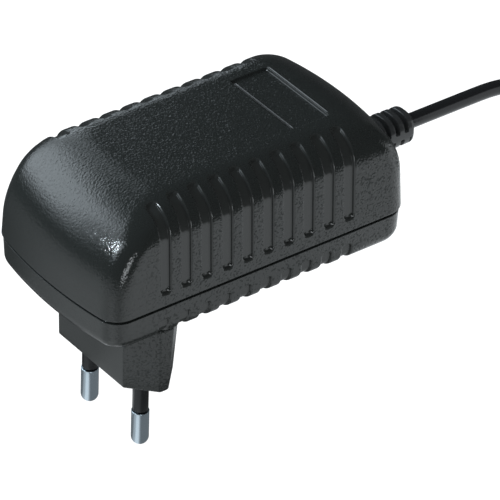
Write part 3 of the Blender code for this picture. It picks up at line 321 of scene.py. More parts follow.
class Skin:
    """Points and faces of one piece, gathered before it becomes a mesh."""

    def __init__(self):
        self.points = []
        self.count = 0
        self.faces = []
        self.kinds = []

    def add(self, points):
        points = np.asarray(points, float).reshape(-1, 3)
        self.points.append(points)
        found = np.arange(self.count, self.count + len(points))
        self.count += len(points)
        return found

    def strip(self, a, b, kind=0, loop=False):
        """Quads between two rows of the same length; kind is one slot or one for each quad."""
        a, b = np.asarray(a), np.asarray(b)
        if loop:
            a, b = np.append(a, a[0]), np.append(b, b[0])
        kinds = np.broadcast_to(kind, len(a) - 1)
        for p, q, r, s, k in zip(a[:-1], a[1:], b[1:], b[:-1], kinds):
            face = []
            for v in (p, q, r, s):
                if v not in face:
                    face.append(int(v))
            if len(face) > 2:
                self.faces.append(face)
                self.kinds.append(int(k))

    def cap(self, row, kind=0):
        self.faces.append([int(v) for v in row])
        self.kinds.append(int(kind))

    def next_ring(self, ring, points, kind=0):
        """Closed ring of points, joined to the ring before it, or capped where there is none."""
        found = self.add(points)
        if ring is None:
            self.cap(found)
        else:
            self.strip(ring, found, kind, loop=True)
        return found

    def build(self, name, looks):
        mesh = bpy.data.meshes.new(name)
        mesh.from_pydata((np.concatenate(self.points) * 0.001).tolist(), [], self.faces)
        mesh.polygons.foreach_set("material_index", np.array(self.kinds, np.int32))
        work = bmesh.new()
        work.from_mesh(mesh)
        bmesh.ops.recalc_face_normals(work, faces=work.faces)
        if work.calc_volume(signed=True) < 0:
            bmesh.ops.reverse_faces(work, faces=work.faces)
        work.to_mesh(mesh)
        work.free()
        mesh.polygons.foreach_set("use_smooth", np.ones(len(mesh.polygons), bool))
        for look in looks:
            mesh.materials.append(look)
        made = placed(name, mesh)
        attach(made, "root")
        return made


# Shape of the case: outline at each height, and its half width at any place along the case


def arc_inset(z, top, radius):
    """How far a rounded edge that ends level at the top lies in at a height."""
    climb = np.clip(z - (top - radius), 0.0, radius)
    return radius - np.sqrt(radius ** 2 - climb ** 2)


def upper_shape(z, wall=0.0):
    """Front, rear, half width and corner of the upper case at a height, or of its hollow."""
    top = TOP - wall
    lean = DRAFT * (z - PARTING) / (TOP - PARTING)
    front = FRONT_X + wall + lean + arc_inset(z, top, FRONT_ROUND - wall)
    rear = BACK_X - wall - lean - arc_inset(z, top, BACK_ROUND - wall)
    half = WIDTH / 2 - wall - lean - arc_inset(z, top, SHOULDER - wall)
    return front, rear, half, CORNER - UPPER_TIGHTER * wall


def lower_shape(z):
    part = (PARTING - z) / (PARTING - UNDERSIDE)
    inset = LOWER_INSET + LOWER_DRAFT * part + arc_inset(2 * UNDERSIDE - z, UNDERSIDE, BOTTOM_EDGE)
    corner = np.maximum(CORNER - LOWER_TIGHTER * inset, LEAST_CORNER)
    return FRONT_X + inset, BACK_X - inset, WIDTH / 2 - inset, corner


def grown(shape, by):
    front, rear, half, corner = shape
    return front - by, rear + by, half + by, corner + by


def bowed_end(half, bow, corner):
    """Radius and half angle of the bow across an end, and where its round corners have their centres."""
    reach = half - corner
    radius = (half ** 2 + bow ** 2) / (2 * bow)
    inward = radius - np.sqrt((radius - corner) ** 2 - reach ** 2)
    return radius, np.arcsin(reach / (radius - corner)), inward, reach


def half_width(x, shape):
    """Half width of an outline at x, and less than zero beyond its ends."""
    front, rear, half, corner = shape
    found = half + 0.0 * x
    for end, bow, sign in ((front, FRONT_BOW, 1), (rear, BACK_BOW, -1)):
        deep = sign * (x - end)
        radius, wide, inward, reach = bowed_end(half, bow, corner)
        on_bow = np.sqrt(np.maximum(radius ** 2 - (radius - deep) ** 2, 0.0))
        on_corner = reach + np.sqrt(np.maximum(corner ** 2 - (inward - deep) ** 2, 0.0))
        found = np.where(deep < inward, on_corner, found)
        found = np.where(deep < radius * (1 - np.cos(wide)), on_bow, found)
        found = np.where(deep < 0, -1.0, found)
    return found


CORNER_POINTS, BOW_POINTS = 60, 121


def end_path(shape, seam, sign, shares):
    """Outline round one end, from one side at the seam to the other, at shares of its length."""
    front, rear, half, corner = shape
    end, bow = (front, FRONT_BOW) if sign > 0 else (rear, BACK_BOW)
    radius, wide, inward, reach = bowed_end(half, bow, corner)
    t = np.linspace(wide, math.pi / 2, CORNER_POINTS)
    turn_x, turn_y = end + sign * (inward - corner * np.cos(t)), reach + corner * np.sin(t)
    t = np.linspace(-wide, wide, BOW_POINTS)
    bow_x, bow_y = end + sign * radius * (1 - np.cos(t)), radius * np.sin(t)
    x = np.concatenate([[seam], turn_x[::-1], bow_x, turn_x, [seam]])
    y = np.concatenate([[-half], -turn_y[::-1], bow_y, turn_y, [half]])
    run = np.concatenate([[0.0], np.cumsum(np.hypot(np.diff(x), np.diff(y)))])
    at = np.asarray(shares) * run[-1]
    return np.interp(at, run, x), np.interp(at, run, y)


BEYOND = 70.0
HALVINGS = 44


def trace(pivot_x, tilt, sign):
    """Half section of the upper case in a plane through a line along y at the seam height.

    The plane leans by tilt from upright towards one end. Gives dense points from the side wall to
    the middle, as lengths along the plane and half widths, one row for each plane. Each point is
    found by halving the stretch between the line and a place well beyond the case.
    """
    pivot_x, tilt = np.broadcast_arrays(np.atleast_1d(pivot_x).astype(float), np.atleast_1d(tilt))
    angle = np.linspace(0.0, math.pi / 2, 601)[None, :]
    low = np.zeros((len(pivot_x), angle.shape[1]))
    high = np.full_like(low, BEYOND)
    for _ in range(HALVINGS):
        middle = (low + high) / 2
        along = middle * np.sin(angle)
        x = pivot_x[:, None] - sign * along * np.sin(tilt)[:, None]
        z = SEAM_Z + along * np.cos(tilt)[:, None]
        inside = middle * np.cos(angle) < half_width(x, upper_shape(np.minimum(z, TOP)))
        inside &= z < TOP
        low, high = np.where(inside, middle, low), np.where(inside, high, middle)
    return low * np.sin(angle), low * np.cos(angle)


def run_lengths(a, b):
    steps = np.hypot(np.diff(a, axis=-1), np.diff(b, axis=-1))
    return np.concatenate([np.zeros((len(a), 1)), np.cumsum(steps, axis=-1)], axis=-1)


def edge_distance(across, along, radius):
    """Distance to the edge of a rounded rectangle, below zero inside it, from distances to its sides."""
    across = across + radius
    along = along + radius
    outside = np.hypot(np.maximum(across, 0.0), np.maximum(along, 0.0))
    return outside + np.minimum(np.maximum(across, along), 0.0) - radius


def groove_share(x, run, length, end_round):
    """How far a point lies inside the nearest groove: 0 on the land, 1 on the floor."""
    nearest = FIRST_X + PITCH * np.clip(np.round((x - FIRST_X) / PITCH), 0, GROOVES - 1)
    distance = edge_distance(np.abs(x - nearest) - GROOVE_HALF, np.abs(run - length / 2) - length / 2,
                             end_round)
    return np.interp(LIP_REACH - distance, WALL_ACROSS, WALL_SHARE)


# Places along the case that the mesh follows: close together at the walls of grooves, label and ribs

GROOVE_OFFSETS = (0.0, 0.55, 1.10, 1.15, 1.21, 1.24, 1.30, 1.40, 1.50, 1.60, 1.70, 1.85)
LAND_OFFSETS = (-0.45, 0.0, 0.45)
LABEL_OFFSETS = (-0.17, -0.10, -0.04, 0.02, 0.05)
CLOSEST, CLOSEST_TO_SEAM = 0.024, 0.055

places = [SEAM_FRONT, SEAM_BACK]
for k in range(GROOVES):
    centre = FIRST_X + PITCH * k
    places += [centre + side * offset for side in (-1, 1) for offset in GROOVE_OFFSETS]
    if k < GROOVES - 1:
        places += [centre + PITCH / 2 + offset for offset in LAND_OFFSETS]
places += [LABEL_X + side * (LABEL_HALF_X + offset) for side in (-1, 1) for offset in LABEL_OFFSETS]
for edge, _ in RIBS:
    places += [edge + RIB_HALF * k / 4 for k in range(-4, 5)]
places = sorted(place for place in places if SEAM_FRONT <= place <= SEAM_BACK)
columns = [places[0]]
for place in places[1:-1]:
    if place - columns[-1] > CLOSEST and places[-1] - place > CLOSEST_TO_SEAM:
        columns.append(place)
columns = np.array(columns + [places[-1]])

# Upper case: rows run up each side from the seam height and over the top

tilts = np.linspace(0.0, math.pi / 2, 57)
step_a, step_y = trace(columns, 0.0, 1)
length = run_lengths(step_a, step_y)
foot = np.array([np.interp(FOOT_Z, SEAM_Z + a, s) for a, s in zip(step_a, length)])
head = np.array([np.interp(-HEAD_Y, -y, s) for y, s in zip(step_y, length)])
label = np.array([np.interp(-LABEL_HALF_Y, -y, s) for y, s in zip(step_y, length)])
whole = length[:, -1]
# Stops along a row, round the groove's ends and the label's side, and the points from each to the next
END_STRETCH, PAST_HEAD, SIDE_STRETCH = 1.6, 0.4, 0.35
stops = [np.zeros_like(whole), foot + END_STRETCH, head - END_STRETCH, head + PAST_HEAD,
         label - SIDE_STRETCH, label + SIDE_STRETCH, whole]
parts = (22, 24, 26, 5, 8, 12)
rows = np.concatenate([a[:, None] + (b - a)[:, None] * np.arange(n) / n
                       for a, b, n in zip(stops[:-1], stops[1:], parts)] + [whole[:, None]], axis=1)


def sampled(a, y, lengths, at):
    """Points and outward directions of dense half sections at lengths along them."""
    along, wide, out_a, out_y = (np.empty(at.shape) for _ in range(4))
    for i in range(len(at)):
        along[i] = np.interp(at[i], lengths[i], a[i])
        wide[i] = np.interp(at[i], lengths[i], y[i])
        slope_a = np.gradient(a[i], lengths[i])
        slope_y = np.gradient(y[i], lengths[i])
        na, ny = np.interp(at[i], lengths[i], -slope_y), np.interp(at[i], lengths[i], slope_a)
        size = np.hypot(na, ny)
        out_a[i], out_y[i] = na / size, ny / size
    return along, wide, out_a, out_y


def mirrored(rows, sign=1):
    """Rows over one half of the case, taken with a sign, and back over the other half."""
    return np.concatenate([sign * rows, rows[:, -2::-1]], axis=1)


rise_at, wide_at, normal_z, normal_y = sampled(step_a, step_y, length, rows)
normal_z[:, -1], normal_y[:, -1] = 1.0, 0.0
share = groove_share(columns[:, None], rows - foot[:, None], (head - foot)[:, None], UPPER_END_ROUND)
x_grid = columns[:, None] + 0.0 * rows
distance = edge_distance(np.abs(x_grid - LABEL_X) - LABEL_HALF_X, wide_at - LABEL_HALF_Y, LABEL_ROUND)
sink = LABEL_DEPTH * smoothstep((LABEL_LIP - distance) / LABEL_RUN)
on_ribs = smoothstep((LABEL_HALF_Y - RIB_END - wide_at) / RIB_RUN)
# Faces that take the near-flat material with its painted lighter base: groove floors and walls, and the ribs
sleek_painted_lighter = share.copy()
for edge, height in RIBS:
    sleek_painted_lighter = np.maximum(sleek_painted_lighter, on_ribs * (np.abs(x_grid - edge) < RIB_HALF + RIB_MARGIN))
    sink = sink - height * on_ribs * np.clip(1 - np.abs(x_grid - edge) / RIB_HALF, 0.0, 1.0)
y_grid = wide_at - GROOVE_DEPTH * share * normal_y
z_grid = SEAM_Z + rise_at - GROOVE_DEPTH * share * normal_z - sink

top = Skin()
both_x = mirrored(x_grid)
both_sleek_painted_lighter = mirrored(sleek_painted_lighter)
grid = top.add(np.stack([both_x, mirrored(y_grid, -1), mirrored(z_grid)], axis=-1)).reshape(both_x.shape)
for i in range(len(columns) - 1):
    middle = (both_sleek_painted_lighter[i, :-1] + both_sleek_painted_lighter[i + 1, 1:]) / 2
    top.strip(grid[i], grid[i + 1], np.where(middle > SLEEK_PAINTED_LIGHTER_FROM, 1, 0))


def fan(skin, seam, sign, edge_row, shares):
    """One end above the seam height, as half sections that lean from upright to level."""
    a, y = trace(np.full(len(tilts), seam), tilts, sign)
    lengths = run_lengths(a, y)
    along, wide, _, _ = sampled(a, y, lengths, shares[None, :] * lengths[:, -1:])
    x = seam - sign * along * np.sin(tilts)[:, None]
    z = SEAM_Z + along * np.cos(tilts)[:, None]
    points = np.stack([mirrored(x), mirrored(wide, -1), mirrored(z)], axis=-1)
    row = edge_row
    for leaning in points[1:]:
        found = skin.add(leaning[1:-1])
        next_row = np.concatenate([edge_row[:1], found, edge_row[-1:]])
        skin.strip(row, next_row)
        row = next_row
    return row


front_row = fan(top, SEAM_FRONT, 1, grid[0], rows[0] / whole[0])
back_row = fan(top, SEAM_BACK, -1, grid[-1], rows[-1] / whole[-1])


def level_points(shape, z, end_shares):
    """One level outline: round the front, the left side, round the back, the right side."""
    x1, y1 = end_path(shape, SEAM_FRONT, 1, end_shares[0])
    x2, y2 = end_path(shape, SEAM_BACK, -1, end_shares[1])
    between = columns[1:-1]
    side = half_width(between, shape)
    x = np.concatenate([x1, between, x2[::-1], between[::-1]])
    y = np.concatenate([y1, side, y2[::-1], -side[::-1]])
    return at_height(np.column_stack([x, y]), z)


def level_shares(rows_at):
    """Shares along the end outline that meet the lowest leaning section point by point."""
    half_shares = rows_at / rows_at[-1] / 2
    return np.concatenate([half_shares, 1 - half_shares[-2::-1]])


end_shares = (level_shares(rows[0]), level_shares(rows[-1]))
ring = np.concatenate([front_row, grid[1:-1, -1], back_row[::-1], grid[1:-1, 0][::-1]])
# Band from the seam height down to the rim, as heights and how far each lies in, with a small round
BAND = ((28.3, 0.0), (27.8, 0.0), (27.3, 0.0), (26.8, 0.0), (26.68, 0.01), (26.60, 0.04), (26.55, 0.10))
RIM_INSET = 1.0
rim = PARTING + HALF_GAP
lip = PARTING + 1.5
for z, inset in BAND:
    ring = top.next_ring(ring, level_points(grown(upper_shape(z), -inset), z, end_shares))
outline = level_points(grown(upper_shape(rim), -RIM_INSET), rim, end_shares)[:, :2]
for z in (rim, lip):
    ring = top.next_ring(ring, at_height(outline, z), 1)


def hollow_outline(shape, half_count=600):
    """Outline of the hollow as closely spaced points."""
    shares = (np.arange(half_count) + 0.5) / half_count
    middle = (shape[0] + shape[1]) / 2
    x1, y1 = end_path(shape, middle, 1, shares)
    x2, y2 = end_path(shape, middle, -1, shares)
    return np.column_stack([np.concatenate([x1, x2[::-1]]), np.concatenate([y1, y2[::-1]])])


def closed_shares(outline):
    """An outline with its first point again at its end, and each point's share of the way round."""
    closed = np.vstack([outline, outline[:1]])
    run = np.concatenate([[0], np.cumsum(np.hypot(*np.diff(closed, axis=0).T))])
    return closed, run / run[-1]


# The hollow, with as many points as the rim and spaced as they are
shares = closed_shares(outline)[1][:-1]
steps = 8
for height in [lip] + [TOP - FRONT_ROUND + (FRONT_ROUND - WALL) * math.sin(math.pi / 2 * k / steps)
                       for k in range(steps + 1)]:
    dense = hollow_outline(upper_shape(height, WALL))
    start = int(np.argmin(np.hypot(dense[:, 0] - outline[0, 0], dense[:, 1] - outline[0, 1])))
    closed, dense_shares = closed_shares(np.roll(dense, -start, axis=0))
    found = np.column_stack([np.interp(shares, dense_shares, closed[:, axis]) for axis in (0, 1)])
    ring = top.next_ring(ring, at_height(found, height), 1)
top.cap(ring, 1)
housing_top = top.build("housing_top", [land, smooth_painted_lighter])
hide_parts("case_top")

# Lower case: levels from the rebate under the rim down to the underside and in over it

REBATE = ((PARTING - HALF_GAP, 0.55), (REBATE_Z + 0.02, 0.55), (REBATE_Z, 0.5), (REBATE_Z, 0.06),
          (REBATE_Z - 0.02, 0.02), (REBATE_Z - 0.06, 0.0))
UNDER_INSETS = (0.25, 0.5, 0.8, 1.1, 1.4, 1.6, 1.75, 1.9, 2.05, 2.2, 2.35, 2.6)
EDGE_STEPS = 25
END_POINTS = 181
SIDE_X = 20.0
# Depth of a lower groove at the underside and from this height up, as shares of the full depth
FULL_DEPTH_Z = UNDERSIDE + 4.5
SHALLOW, DEEP = 0.55, 1.15

BAND_TOP, HEADS_TOP = REBATE_Z - 0.2, LOW_HEAD_Z + 0.3
heights = [*np.linspace(BAND_TOP, HEADS_TOP, 10)[:-1],
           *np.linspace(HEADS_TOP, UNDERSIDE + BOTTOM_EDGE, 13)[:-1]]
heights += [UNDERSIDE + BOTTOM_EDGE * (1 - math.sin(math.pi / 2 * k / EDGE_STEPS))
            for k in range(EDGE_STEPS + 1)]
levels = [(grown(lower_shape(z), -inset), z) for z, inset in REBATE]
levels += [(lower_shape(z), z) for z in heights]
levels += [(grown(lower_shape(UNDERSIDE), -inset), UNDERSIDE) for inset in UNDER_INSETS]
edge_y = np.array([half_width(SIDE_X, shape) for shape, _ in levels])
edge_z = np.array([z for _, z in levels])
edge_run = np.concatenate([[0], np.cumsum(np.hypot(np.diff(edge_y), np.diff(edge_z)))])
tail_y = half_width(SIDE_X, lower_shape(UNDERSIDE)) - LOW_RUN
low_head = np.interp(-LOW_HEAD_Z, -edge_z, edge_run)
low_tail = np.interp(-tail_y, -edge_y, edge_run)
slope_y, slope_z = np.gradient(edge_y, edge_run), np.gradient(edge_z, edge_run)
size = np.hypot(slope_y, slope_z)
out_y, out_z = -slope_z / size, slope_y / size
low_share = groove_share(columns[1:-1][None, :], (edge_run - low_head)[:, None], low_tail - low_head,
                         LOWER_END_ROUND)
low_shares = (np.linspace(0, 1, END_POINTS), np.linspace(0, 1, END_POINTS))
between = len(columns) - 2
left_part = slice(END_POINTS, END_POINTS + between)
right_part = slice(2 * END_POINTS + between, 2 * END_POINTS + 2 * between)

bottom = Skin()
rings = []
for i, (shape, z) in enumerate(levels):
    points = level_points(shape, z, low_shares)
    deep = GROOVE_DEPTH * low_share[i] * np.interp(z, (UNDERSIDE, FULL_DEPTH_Z), (SHALLOW, DEEP))
    points[left_part, 1] -= deep * out_y[i]
    points[left_part, 2] -= deep * out_z[i]
    points[right_part, 1] += deep[::-1] * out_y[i]
    points[right_part, 2] -= deep[::-1] * out_z[i]
    # Groove faces take the near-flat material with its painted lighter base
    kinds = np.zeros(len(points), int)
    kinds[left_part] = low_share[i] > SLEEK_PAINTED_LIGHTER_FROM
    kinds[right_part] = low_share[i][::-1] > SLEEK_PAINTED_LIGHTER_FROM
    rings.append(bottom.add(points))
    if i > 0:
        bottom.strip(rings[-2], rings[-1], kinds, loop=True)
bottom.cap(rings[-1], 0)

# Its lip inside the rim, and its hollow
LIP_OUT, LIP_IN, HOLLOW_IN = 1.3, 2.0, 2.4
LIP_TOP = PARTING + 1.2
HOLLOW_TOP, HOLLOW_LEAN = 4.0, 0.1
inside = [(LIP_OUT, PARTING - HALF_GAP), (LIP_OUT, LIP_TOP), (LIP_IN, LIP_TOP)]
inside += [(HOLLOW_IN + HOLLOW_LEAN * (HOLLOW_TOP - rise), UNDERSIDE + rise)
           for rise in (HOLLOW_TOP, 2.6, 2.0)]
rim_shape = lower_shape(PARTING - HALF_GAP)
ring = rings[0]
for inset, z in inside:
    ring = bottom.next_ring(ring, level_points(grown(rim_shape, -inset), z, low_shares), 1)
bottom.cap(ring, 1)
housing_bottom = bottom.build("housing_bottom", [land, smooth_painted_lighter])
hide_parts("case_bottom")

# Plug block under the case


def rounded(outline, radius, steps=8):
    """Outline with each corner turned into an arc."""
    outline = np.asarray(outline, float)
    made = []
    for i, corner in enumerate(outline):
        before = outline[i - 1] - corner
        after = outline[(i + 1) % len(outline)] - corner
        before /= np.linalg.norm(before)
        after /= np.linalg.norm(after)
        half_angle = math.acos(np.clip(np.dot(before, after), -1, 1)) / 2
        reach = radius / math.tan(half_angle)
        centre_way = (before + after) / np.linalg.norm(before + after)
        centre = corner + centre_way * radius / math.sin(half_angle)
        a = corner + before * reach - centre
        b = corner + after * reach - centre
        for k in range(steps + 1):
            t = k / steps
            way = a * (1 - t) + b * t
            made.append(centre + way / np.linalg.norm(way) * radius)
    return np.array(made)


BLOCK_WIDTH, BLOCK_FLAT, BLOCK_DEPTH, BLOCK_TIP = 36.2, 24.2, 13.3, 2.2
BLOCK_FLARE, BLOCK_SIDE_FLARE, BLOCK_EDGE, BLOCK_CORNER = 1.2, 0.3, 0.5, 0.8
# The block reaches this far into the case
BLOCK_ROOT = 0.4


# How much of the growth the flat faces take in their width, and of the flare the tips take
FLAT_GROWTH, TIP_FLARE = 0.4, 0.6


def block_outline(grow, flare):
    """Six sides with blunt tips, grown all round, and flared towards the back of the case."""
    flat = BLOCK_FLAT / 2 + FLAT_GROWTH * grow
    wide = BLOCK_WIDTH / 2 + grow
    deep = BLOCK_DEPTH / 2 + grow
    tip = BLOCK_TIP / 2 + grow
    far_tip = tip + TIP_FLARE * flare
    return [(-deep, -flat), (-tip, -wide), (far_tip, -wide), (deep + flare, -flat),
            (deep + flare, flat), (far_tip, wide), (-tip, wide), (-deep, flat)]


# Rounded bottom edge, then the sides, as heights with growth and flare
profile = [(BLOCK_EDGE * (1 - math.cos(t)), -BLOCK_EDGE * (1 - math.sin(t)), 0.0)
           for t in np.linspace(0, math.pi / 2, 7)]
profile += [(BLOCK_EDGE + (UNDERSIDE + BLOCK_ROOT - BLOCK_EDGE) * t, BLOCK_SIDE_FLARE * t, BLOCK_FLARE * t)
            for t in np.linspace(0, 1, 8)[1:]]
block = Skin()
ring = None
for z, grow, flare in profile:
    points = rounded(block_outline(grow, flare), BLOCK_CORNER)
    # The front face takes the near-flat material with its painted lighter base
    front_face = points[:, 0] < np.min(points[:, 0]) + 0.02
    kinds = (front_face & np.roll(front_face, -1)).astype(int)
    ring = block.next_ring(ring, at_height(points, z), kinds)
block.cap(ring, 0)
block.build("plug_block", [land, smooth_painted_lighter])

# Pins and their sleeves, turned from profiles of radius and height


def turned(name, profile, look, origin, steps=64):
    """Solid of revolution from radius and height pairs in millimetres."""
    skin = Skin()
    angles = 2 * np.pi * np.arange(steps) / steps
    ring = None
    for radius, height in profile:
        outline = np.column_stack([radius * np.cos(angles), radius * np.sin(angles)])
        ring = skin.next_ring(ring, at_height(outline, height) + np.asarray(origin))
    skin.cap(ring)
    return skin.build(name, [look])


PIN_PITCH, PIN_RADIUS, PIN_TIP, PIN_COLLAR = 19.0, 2.0, -19.0, -10.0
SHANK_RADIUS, FLANGE_RADIUS = 1.1, 2.2
FLANGE_LOW, FLANGE_HIGH, PIN_TOP = 19.8, 20.8, 22.3
SLEEVE_BORE, SLEEVE_RADIUS, SLEEVE_LOW, SLEEVE_TOP = 1.4, 1.8, -9.7, 5.4

pin_profile = [(PIN_RADIUS * math.sin(t), PIN_TIP + PIN_RADIUS * (1 - math.cos(t)))
               for t in np.linspace(0.03, math.pi / 2, 12)]
pin_profile += [(PIN_RADIUS, PIN_TIP + 2.1), (PIN_RADIUS, PIN_COLLAR - 0.2), (PIN_RADIUS, PIN_COLLAR - 0.12),
                (PIN_RADIUS - 0.03, PIN_COLLAR - 0.05), (PIN_RADIUS - 0.1, PIN_COLLAR),
                (PIN_RADIUS - 0.15, PIN_COLLAR), (SHANK_RADIUS, PIN_COLLAR), (SHANK_RADIUS, FLANGE_LOW),
                (FLANGE_RADIUS, FLANGE_LOW), (FLANGE_RADIUS, FLANGE_HIGH), (SHANK_RADIUS, FLANGE_HIGH),
                (SHANK_RADIUS, PIN_TOP)]
sleeve_profile = [(SLEEVE_BORE, SLEEVE_LOW), (SLEEVE_RADIUS - 0.12, SLEEVE_LOW),
                  (SLEEVE_RADIUS - 0.04, SLEEVE_LOW + 0.04), (SLEEVE_RADIUS, SLEEVE_LOW + 0.12),
                  (SLEEVE_RADIUS, SLEEVE_LOW + 0.3), (SLEEVE_RADIUS, SLEEVE_TOP - 0.2),
                  (SLEEVE_RADIUS, SLEEVE_TOP), (SLEEVE_BORE, SLEEVE_TOP)]
for side, word in ((-1, "right"), (1, "left")):
    place = (0, side * PIN_PITCH / 2, 0)
    pin = turned("pin_metal_" + word, pin_profile, nickel, place)
    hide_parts("pin_" + word)
    sleeve = turned("sleeve_tube_" + word, sleeve_profile, sleeve_black, place)
    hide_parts("sleeve_" + word)

# Strain relief with slots over its top and sides, and short ones beneath

RELIEF_START, RELIEF_END, RELIEF_BEND, BEND_DROP = 64.7, 78.1, 1.0, 0.95
RELIEF_WIDE, RELIEF_SLIM = 4.15, 3.95
NECK = ((60.2, 3.0), (RELIEF_START, 3.0), (RELIEF_START + 0.02, 3.85), (RELIEF_START + 0.08, 4.0))
SLOTS, SLOT_PITCH, LAST_SLOT, UNDER_SHIFT = 4, 2.5, 75.6, 1.5
# A slot's half width and the softness of its edge, and where it starts above or below the middle
UPPER_SLOT, UNDER_SLOT = (0.62, 0.30, 0.7), (0.55, 0.25, 1.0)
SLOT_RISE = 0.30
SLOT_FLOOR = 2.7

around = np.linspace(0, 2 * np.pi, 145)[:-1]
bend_x = RELIEF_END - RELIEF_BEND
relief_x = np.concatenate([np.arange(RELIEF_START + 0.25, bend_x, 0.09),
                           bend_x + RELIEF_BEND * np.sin(np.linspace(0, 1, 14) * np.pi / 2)])


def relief_half(x):
    """Half width of the relief's land, with a rounded end."""
    straight = RELIEF_WIDE + (RELIEF_SLIM - RELIEF_WIDE) * (x - RELIEF_START) / (RELIEF_END - RELIEF_START)
    t = np.arcsin(np.clip((x - bend_x) / RELIEF_BEND, 0, 1))
    return straight - RELIEF_BEND * (1 - np.cos(t)) * BEND_DROP


def ring_radius(half, angle, power=2.6):
    """Radius of a rounded square at an angle."""
    c, s = np.abs(np.cos(angle)), np.abs(np.sin(angle))
    return half / (c ** power + s ** power) ** (1 / power)


def relief_ring(x, radius):
    """Ring of the relief at a place along it, from a radius at each angle."""
    return np.column_stack([np.full_like(radius, x), radius * np.cos(around),
                            CORD_Z + radius * np.sin(around)])


def one_slot(across, height, half, soft, start):
    return smoothstep((half - np.abs(across)) / soft) * smoothstep((height - start) / SLOT_RISE)


def slot_share(x, height):
    """How far a point lies in a slot; the slots beneath stand between those above."""
    found = np.zeros(np.broadcast(x, height).shape)
    for k in range(SLOTS):
        across = x - LAST_SLOT + SLOT_PITCH * k
        upper = one_slot(across, height, *UPPER_SLOT)
        under = one_slot(across - UNDER_SHIFT, -height, *UNDER_SLOT)
        found = np.maximum(found, np.maximum(upper, under))
    return found


x_column = relief_x[:, None]
outer = ring_radius(relief_half(x_column), around[None, :])
inside = slot_share(x_column, outer * np.sin(around)[None, :]) * (x_column < bend_x)
relief_radius = outer + (SLOT_FLOOR - outer) * inside
relief = Skin()
ring = None
for x, half in NECK:
    ring = relief.next_ring(ring, relief_ring(x, ring_radius(half, around)))
for x, radius in zip(relief_x, relief_radius):
    ring = relief.next_ring(ring, relief_ring(x, radius))
relief.cap(ring)
strain = relief.build("ribbed_relief", [relief_black])
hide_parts("strain_relief")

# Floor and studio


def rectangle(low_x, low_y, high_x, high_y, z):
    return [(low_x, low_y, z), (high_x, low_y, z), (high_x, high_y, z), (low_x, high_y, z)]


def upright(start, end, low_z, high_z):
    """Corners of an upright card between two places on the table."""
    return [(*start, low_z), (*end, low_z), (*end, high_z), (*start, high_z)]


def glowing(name, colour, roughness, light, strength):
    """Matt material that shines by itself."""
    made = new_material(name, colour, roughness, specular=0.0)
    shader = made.node_tree.nodes["Principled BSDF"]
    shader.inputs["Emission Color"].default_value = (*light, 1.0)
    shader.inputs["Emission Strength"].default_value = strength
    return made


ONE_FACE = [(0, 1, 2, 3)]
FLOOR_HALF = 6.0
floor_z = FLOOR_Z / 1000
mesh = bpy.data.meshes.new("floor")
mesh.from_pydata(rectangle(-FLOOR_HALF, -FLOOR_HALF, FLOOR_HALF, FLOOR_HALF, floor_z), [], ONE_FACE)
mesh.materials.append(glowing("floor_pale", (0.2, 0.2, 0.2), 0.95, (1.0, 1.0, 1.0), 0.95))
floor = placed("floor", mesh)

world = bpy.data.worlds.new("studio")
bpy.context.scene.world = world
world.use_nodes = True
shade = world.node_tree.nodes["Background"]
shade.inputs["Color"].default_value = (0.96, 0.97, 0.98, 1.0)
shade.inputs["Strength"].default_value = 0.9


def studio_card(name, corners, faces, glow):
    """Flat wall or card of an even brightness, which only reflections see."""
    mesh = bpy.data.meshes.new(name)
    mesh.from_pydata(corners, [], faces)
    mesh.materials.append(glowing(name, (0.0, 0.0, 0.0), 1.0, (0.95, 1.0, 1.03), glow))
    card = placed(name, mesh)
    card.visible_camera = False
    card.visible_diffuse = False
    card.visible_transmission = False
    card.visible_volume_scatter = False
    card.visible_shadow = False
    return card


def vector_math(tree, operation, value, by=(1.0, 1.0, 1.0)):
    made = tree.nodes.new("ShaderNodeVectorMath")
    made.operation = operation
    made.inputs[1].default_value = by
    tree.links.new(value, made.inputs[0])
    return made.outputs["Value" if operation in ('DOT_PRODUCT', 'LENGTH') else "Vector"]


def number_math(tree, operation, *values):
    """Result of a math node; each value is a plain number or another node's output."""
    made = tree.nodes.new("ShaderNodeMath")
    made.operation = operation
    for value, socket in zip(values, made.inputs):
        if isinstance(value, float):
            socket.default_value = value
        else:
            tree.links.new(value, socket)
    return made.outputs["Value"]


def product(tree, found, *values):
    for value in values:
        found = number_math(tree, 'MULTIPLY', found, value)
    return found


def climb(tree, place, direction, start, end, low, high):
    """Brightness that passes from low to high between two distances in a direction, in metres."""
    return stepped(tree, vector_math(tree, 'DOT_PRODUCT', place, (*direction, 0.0)), start, end, low, high)


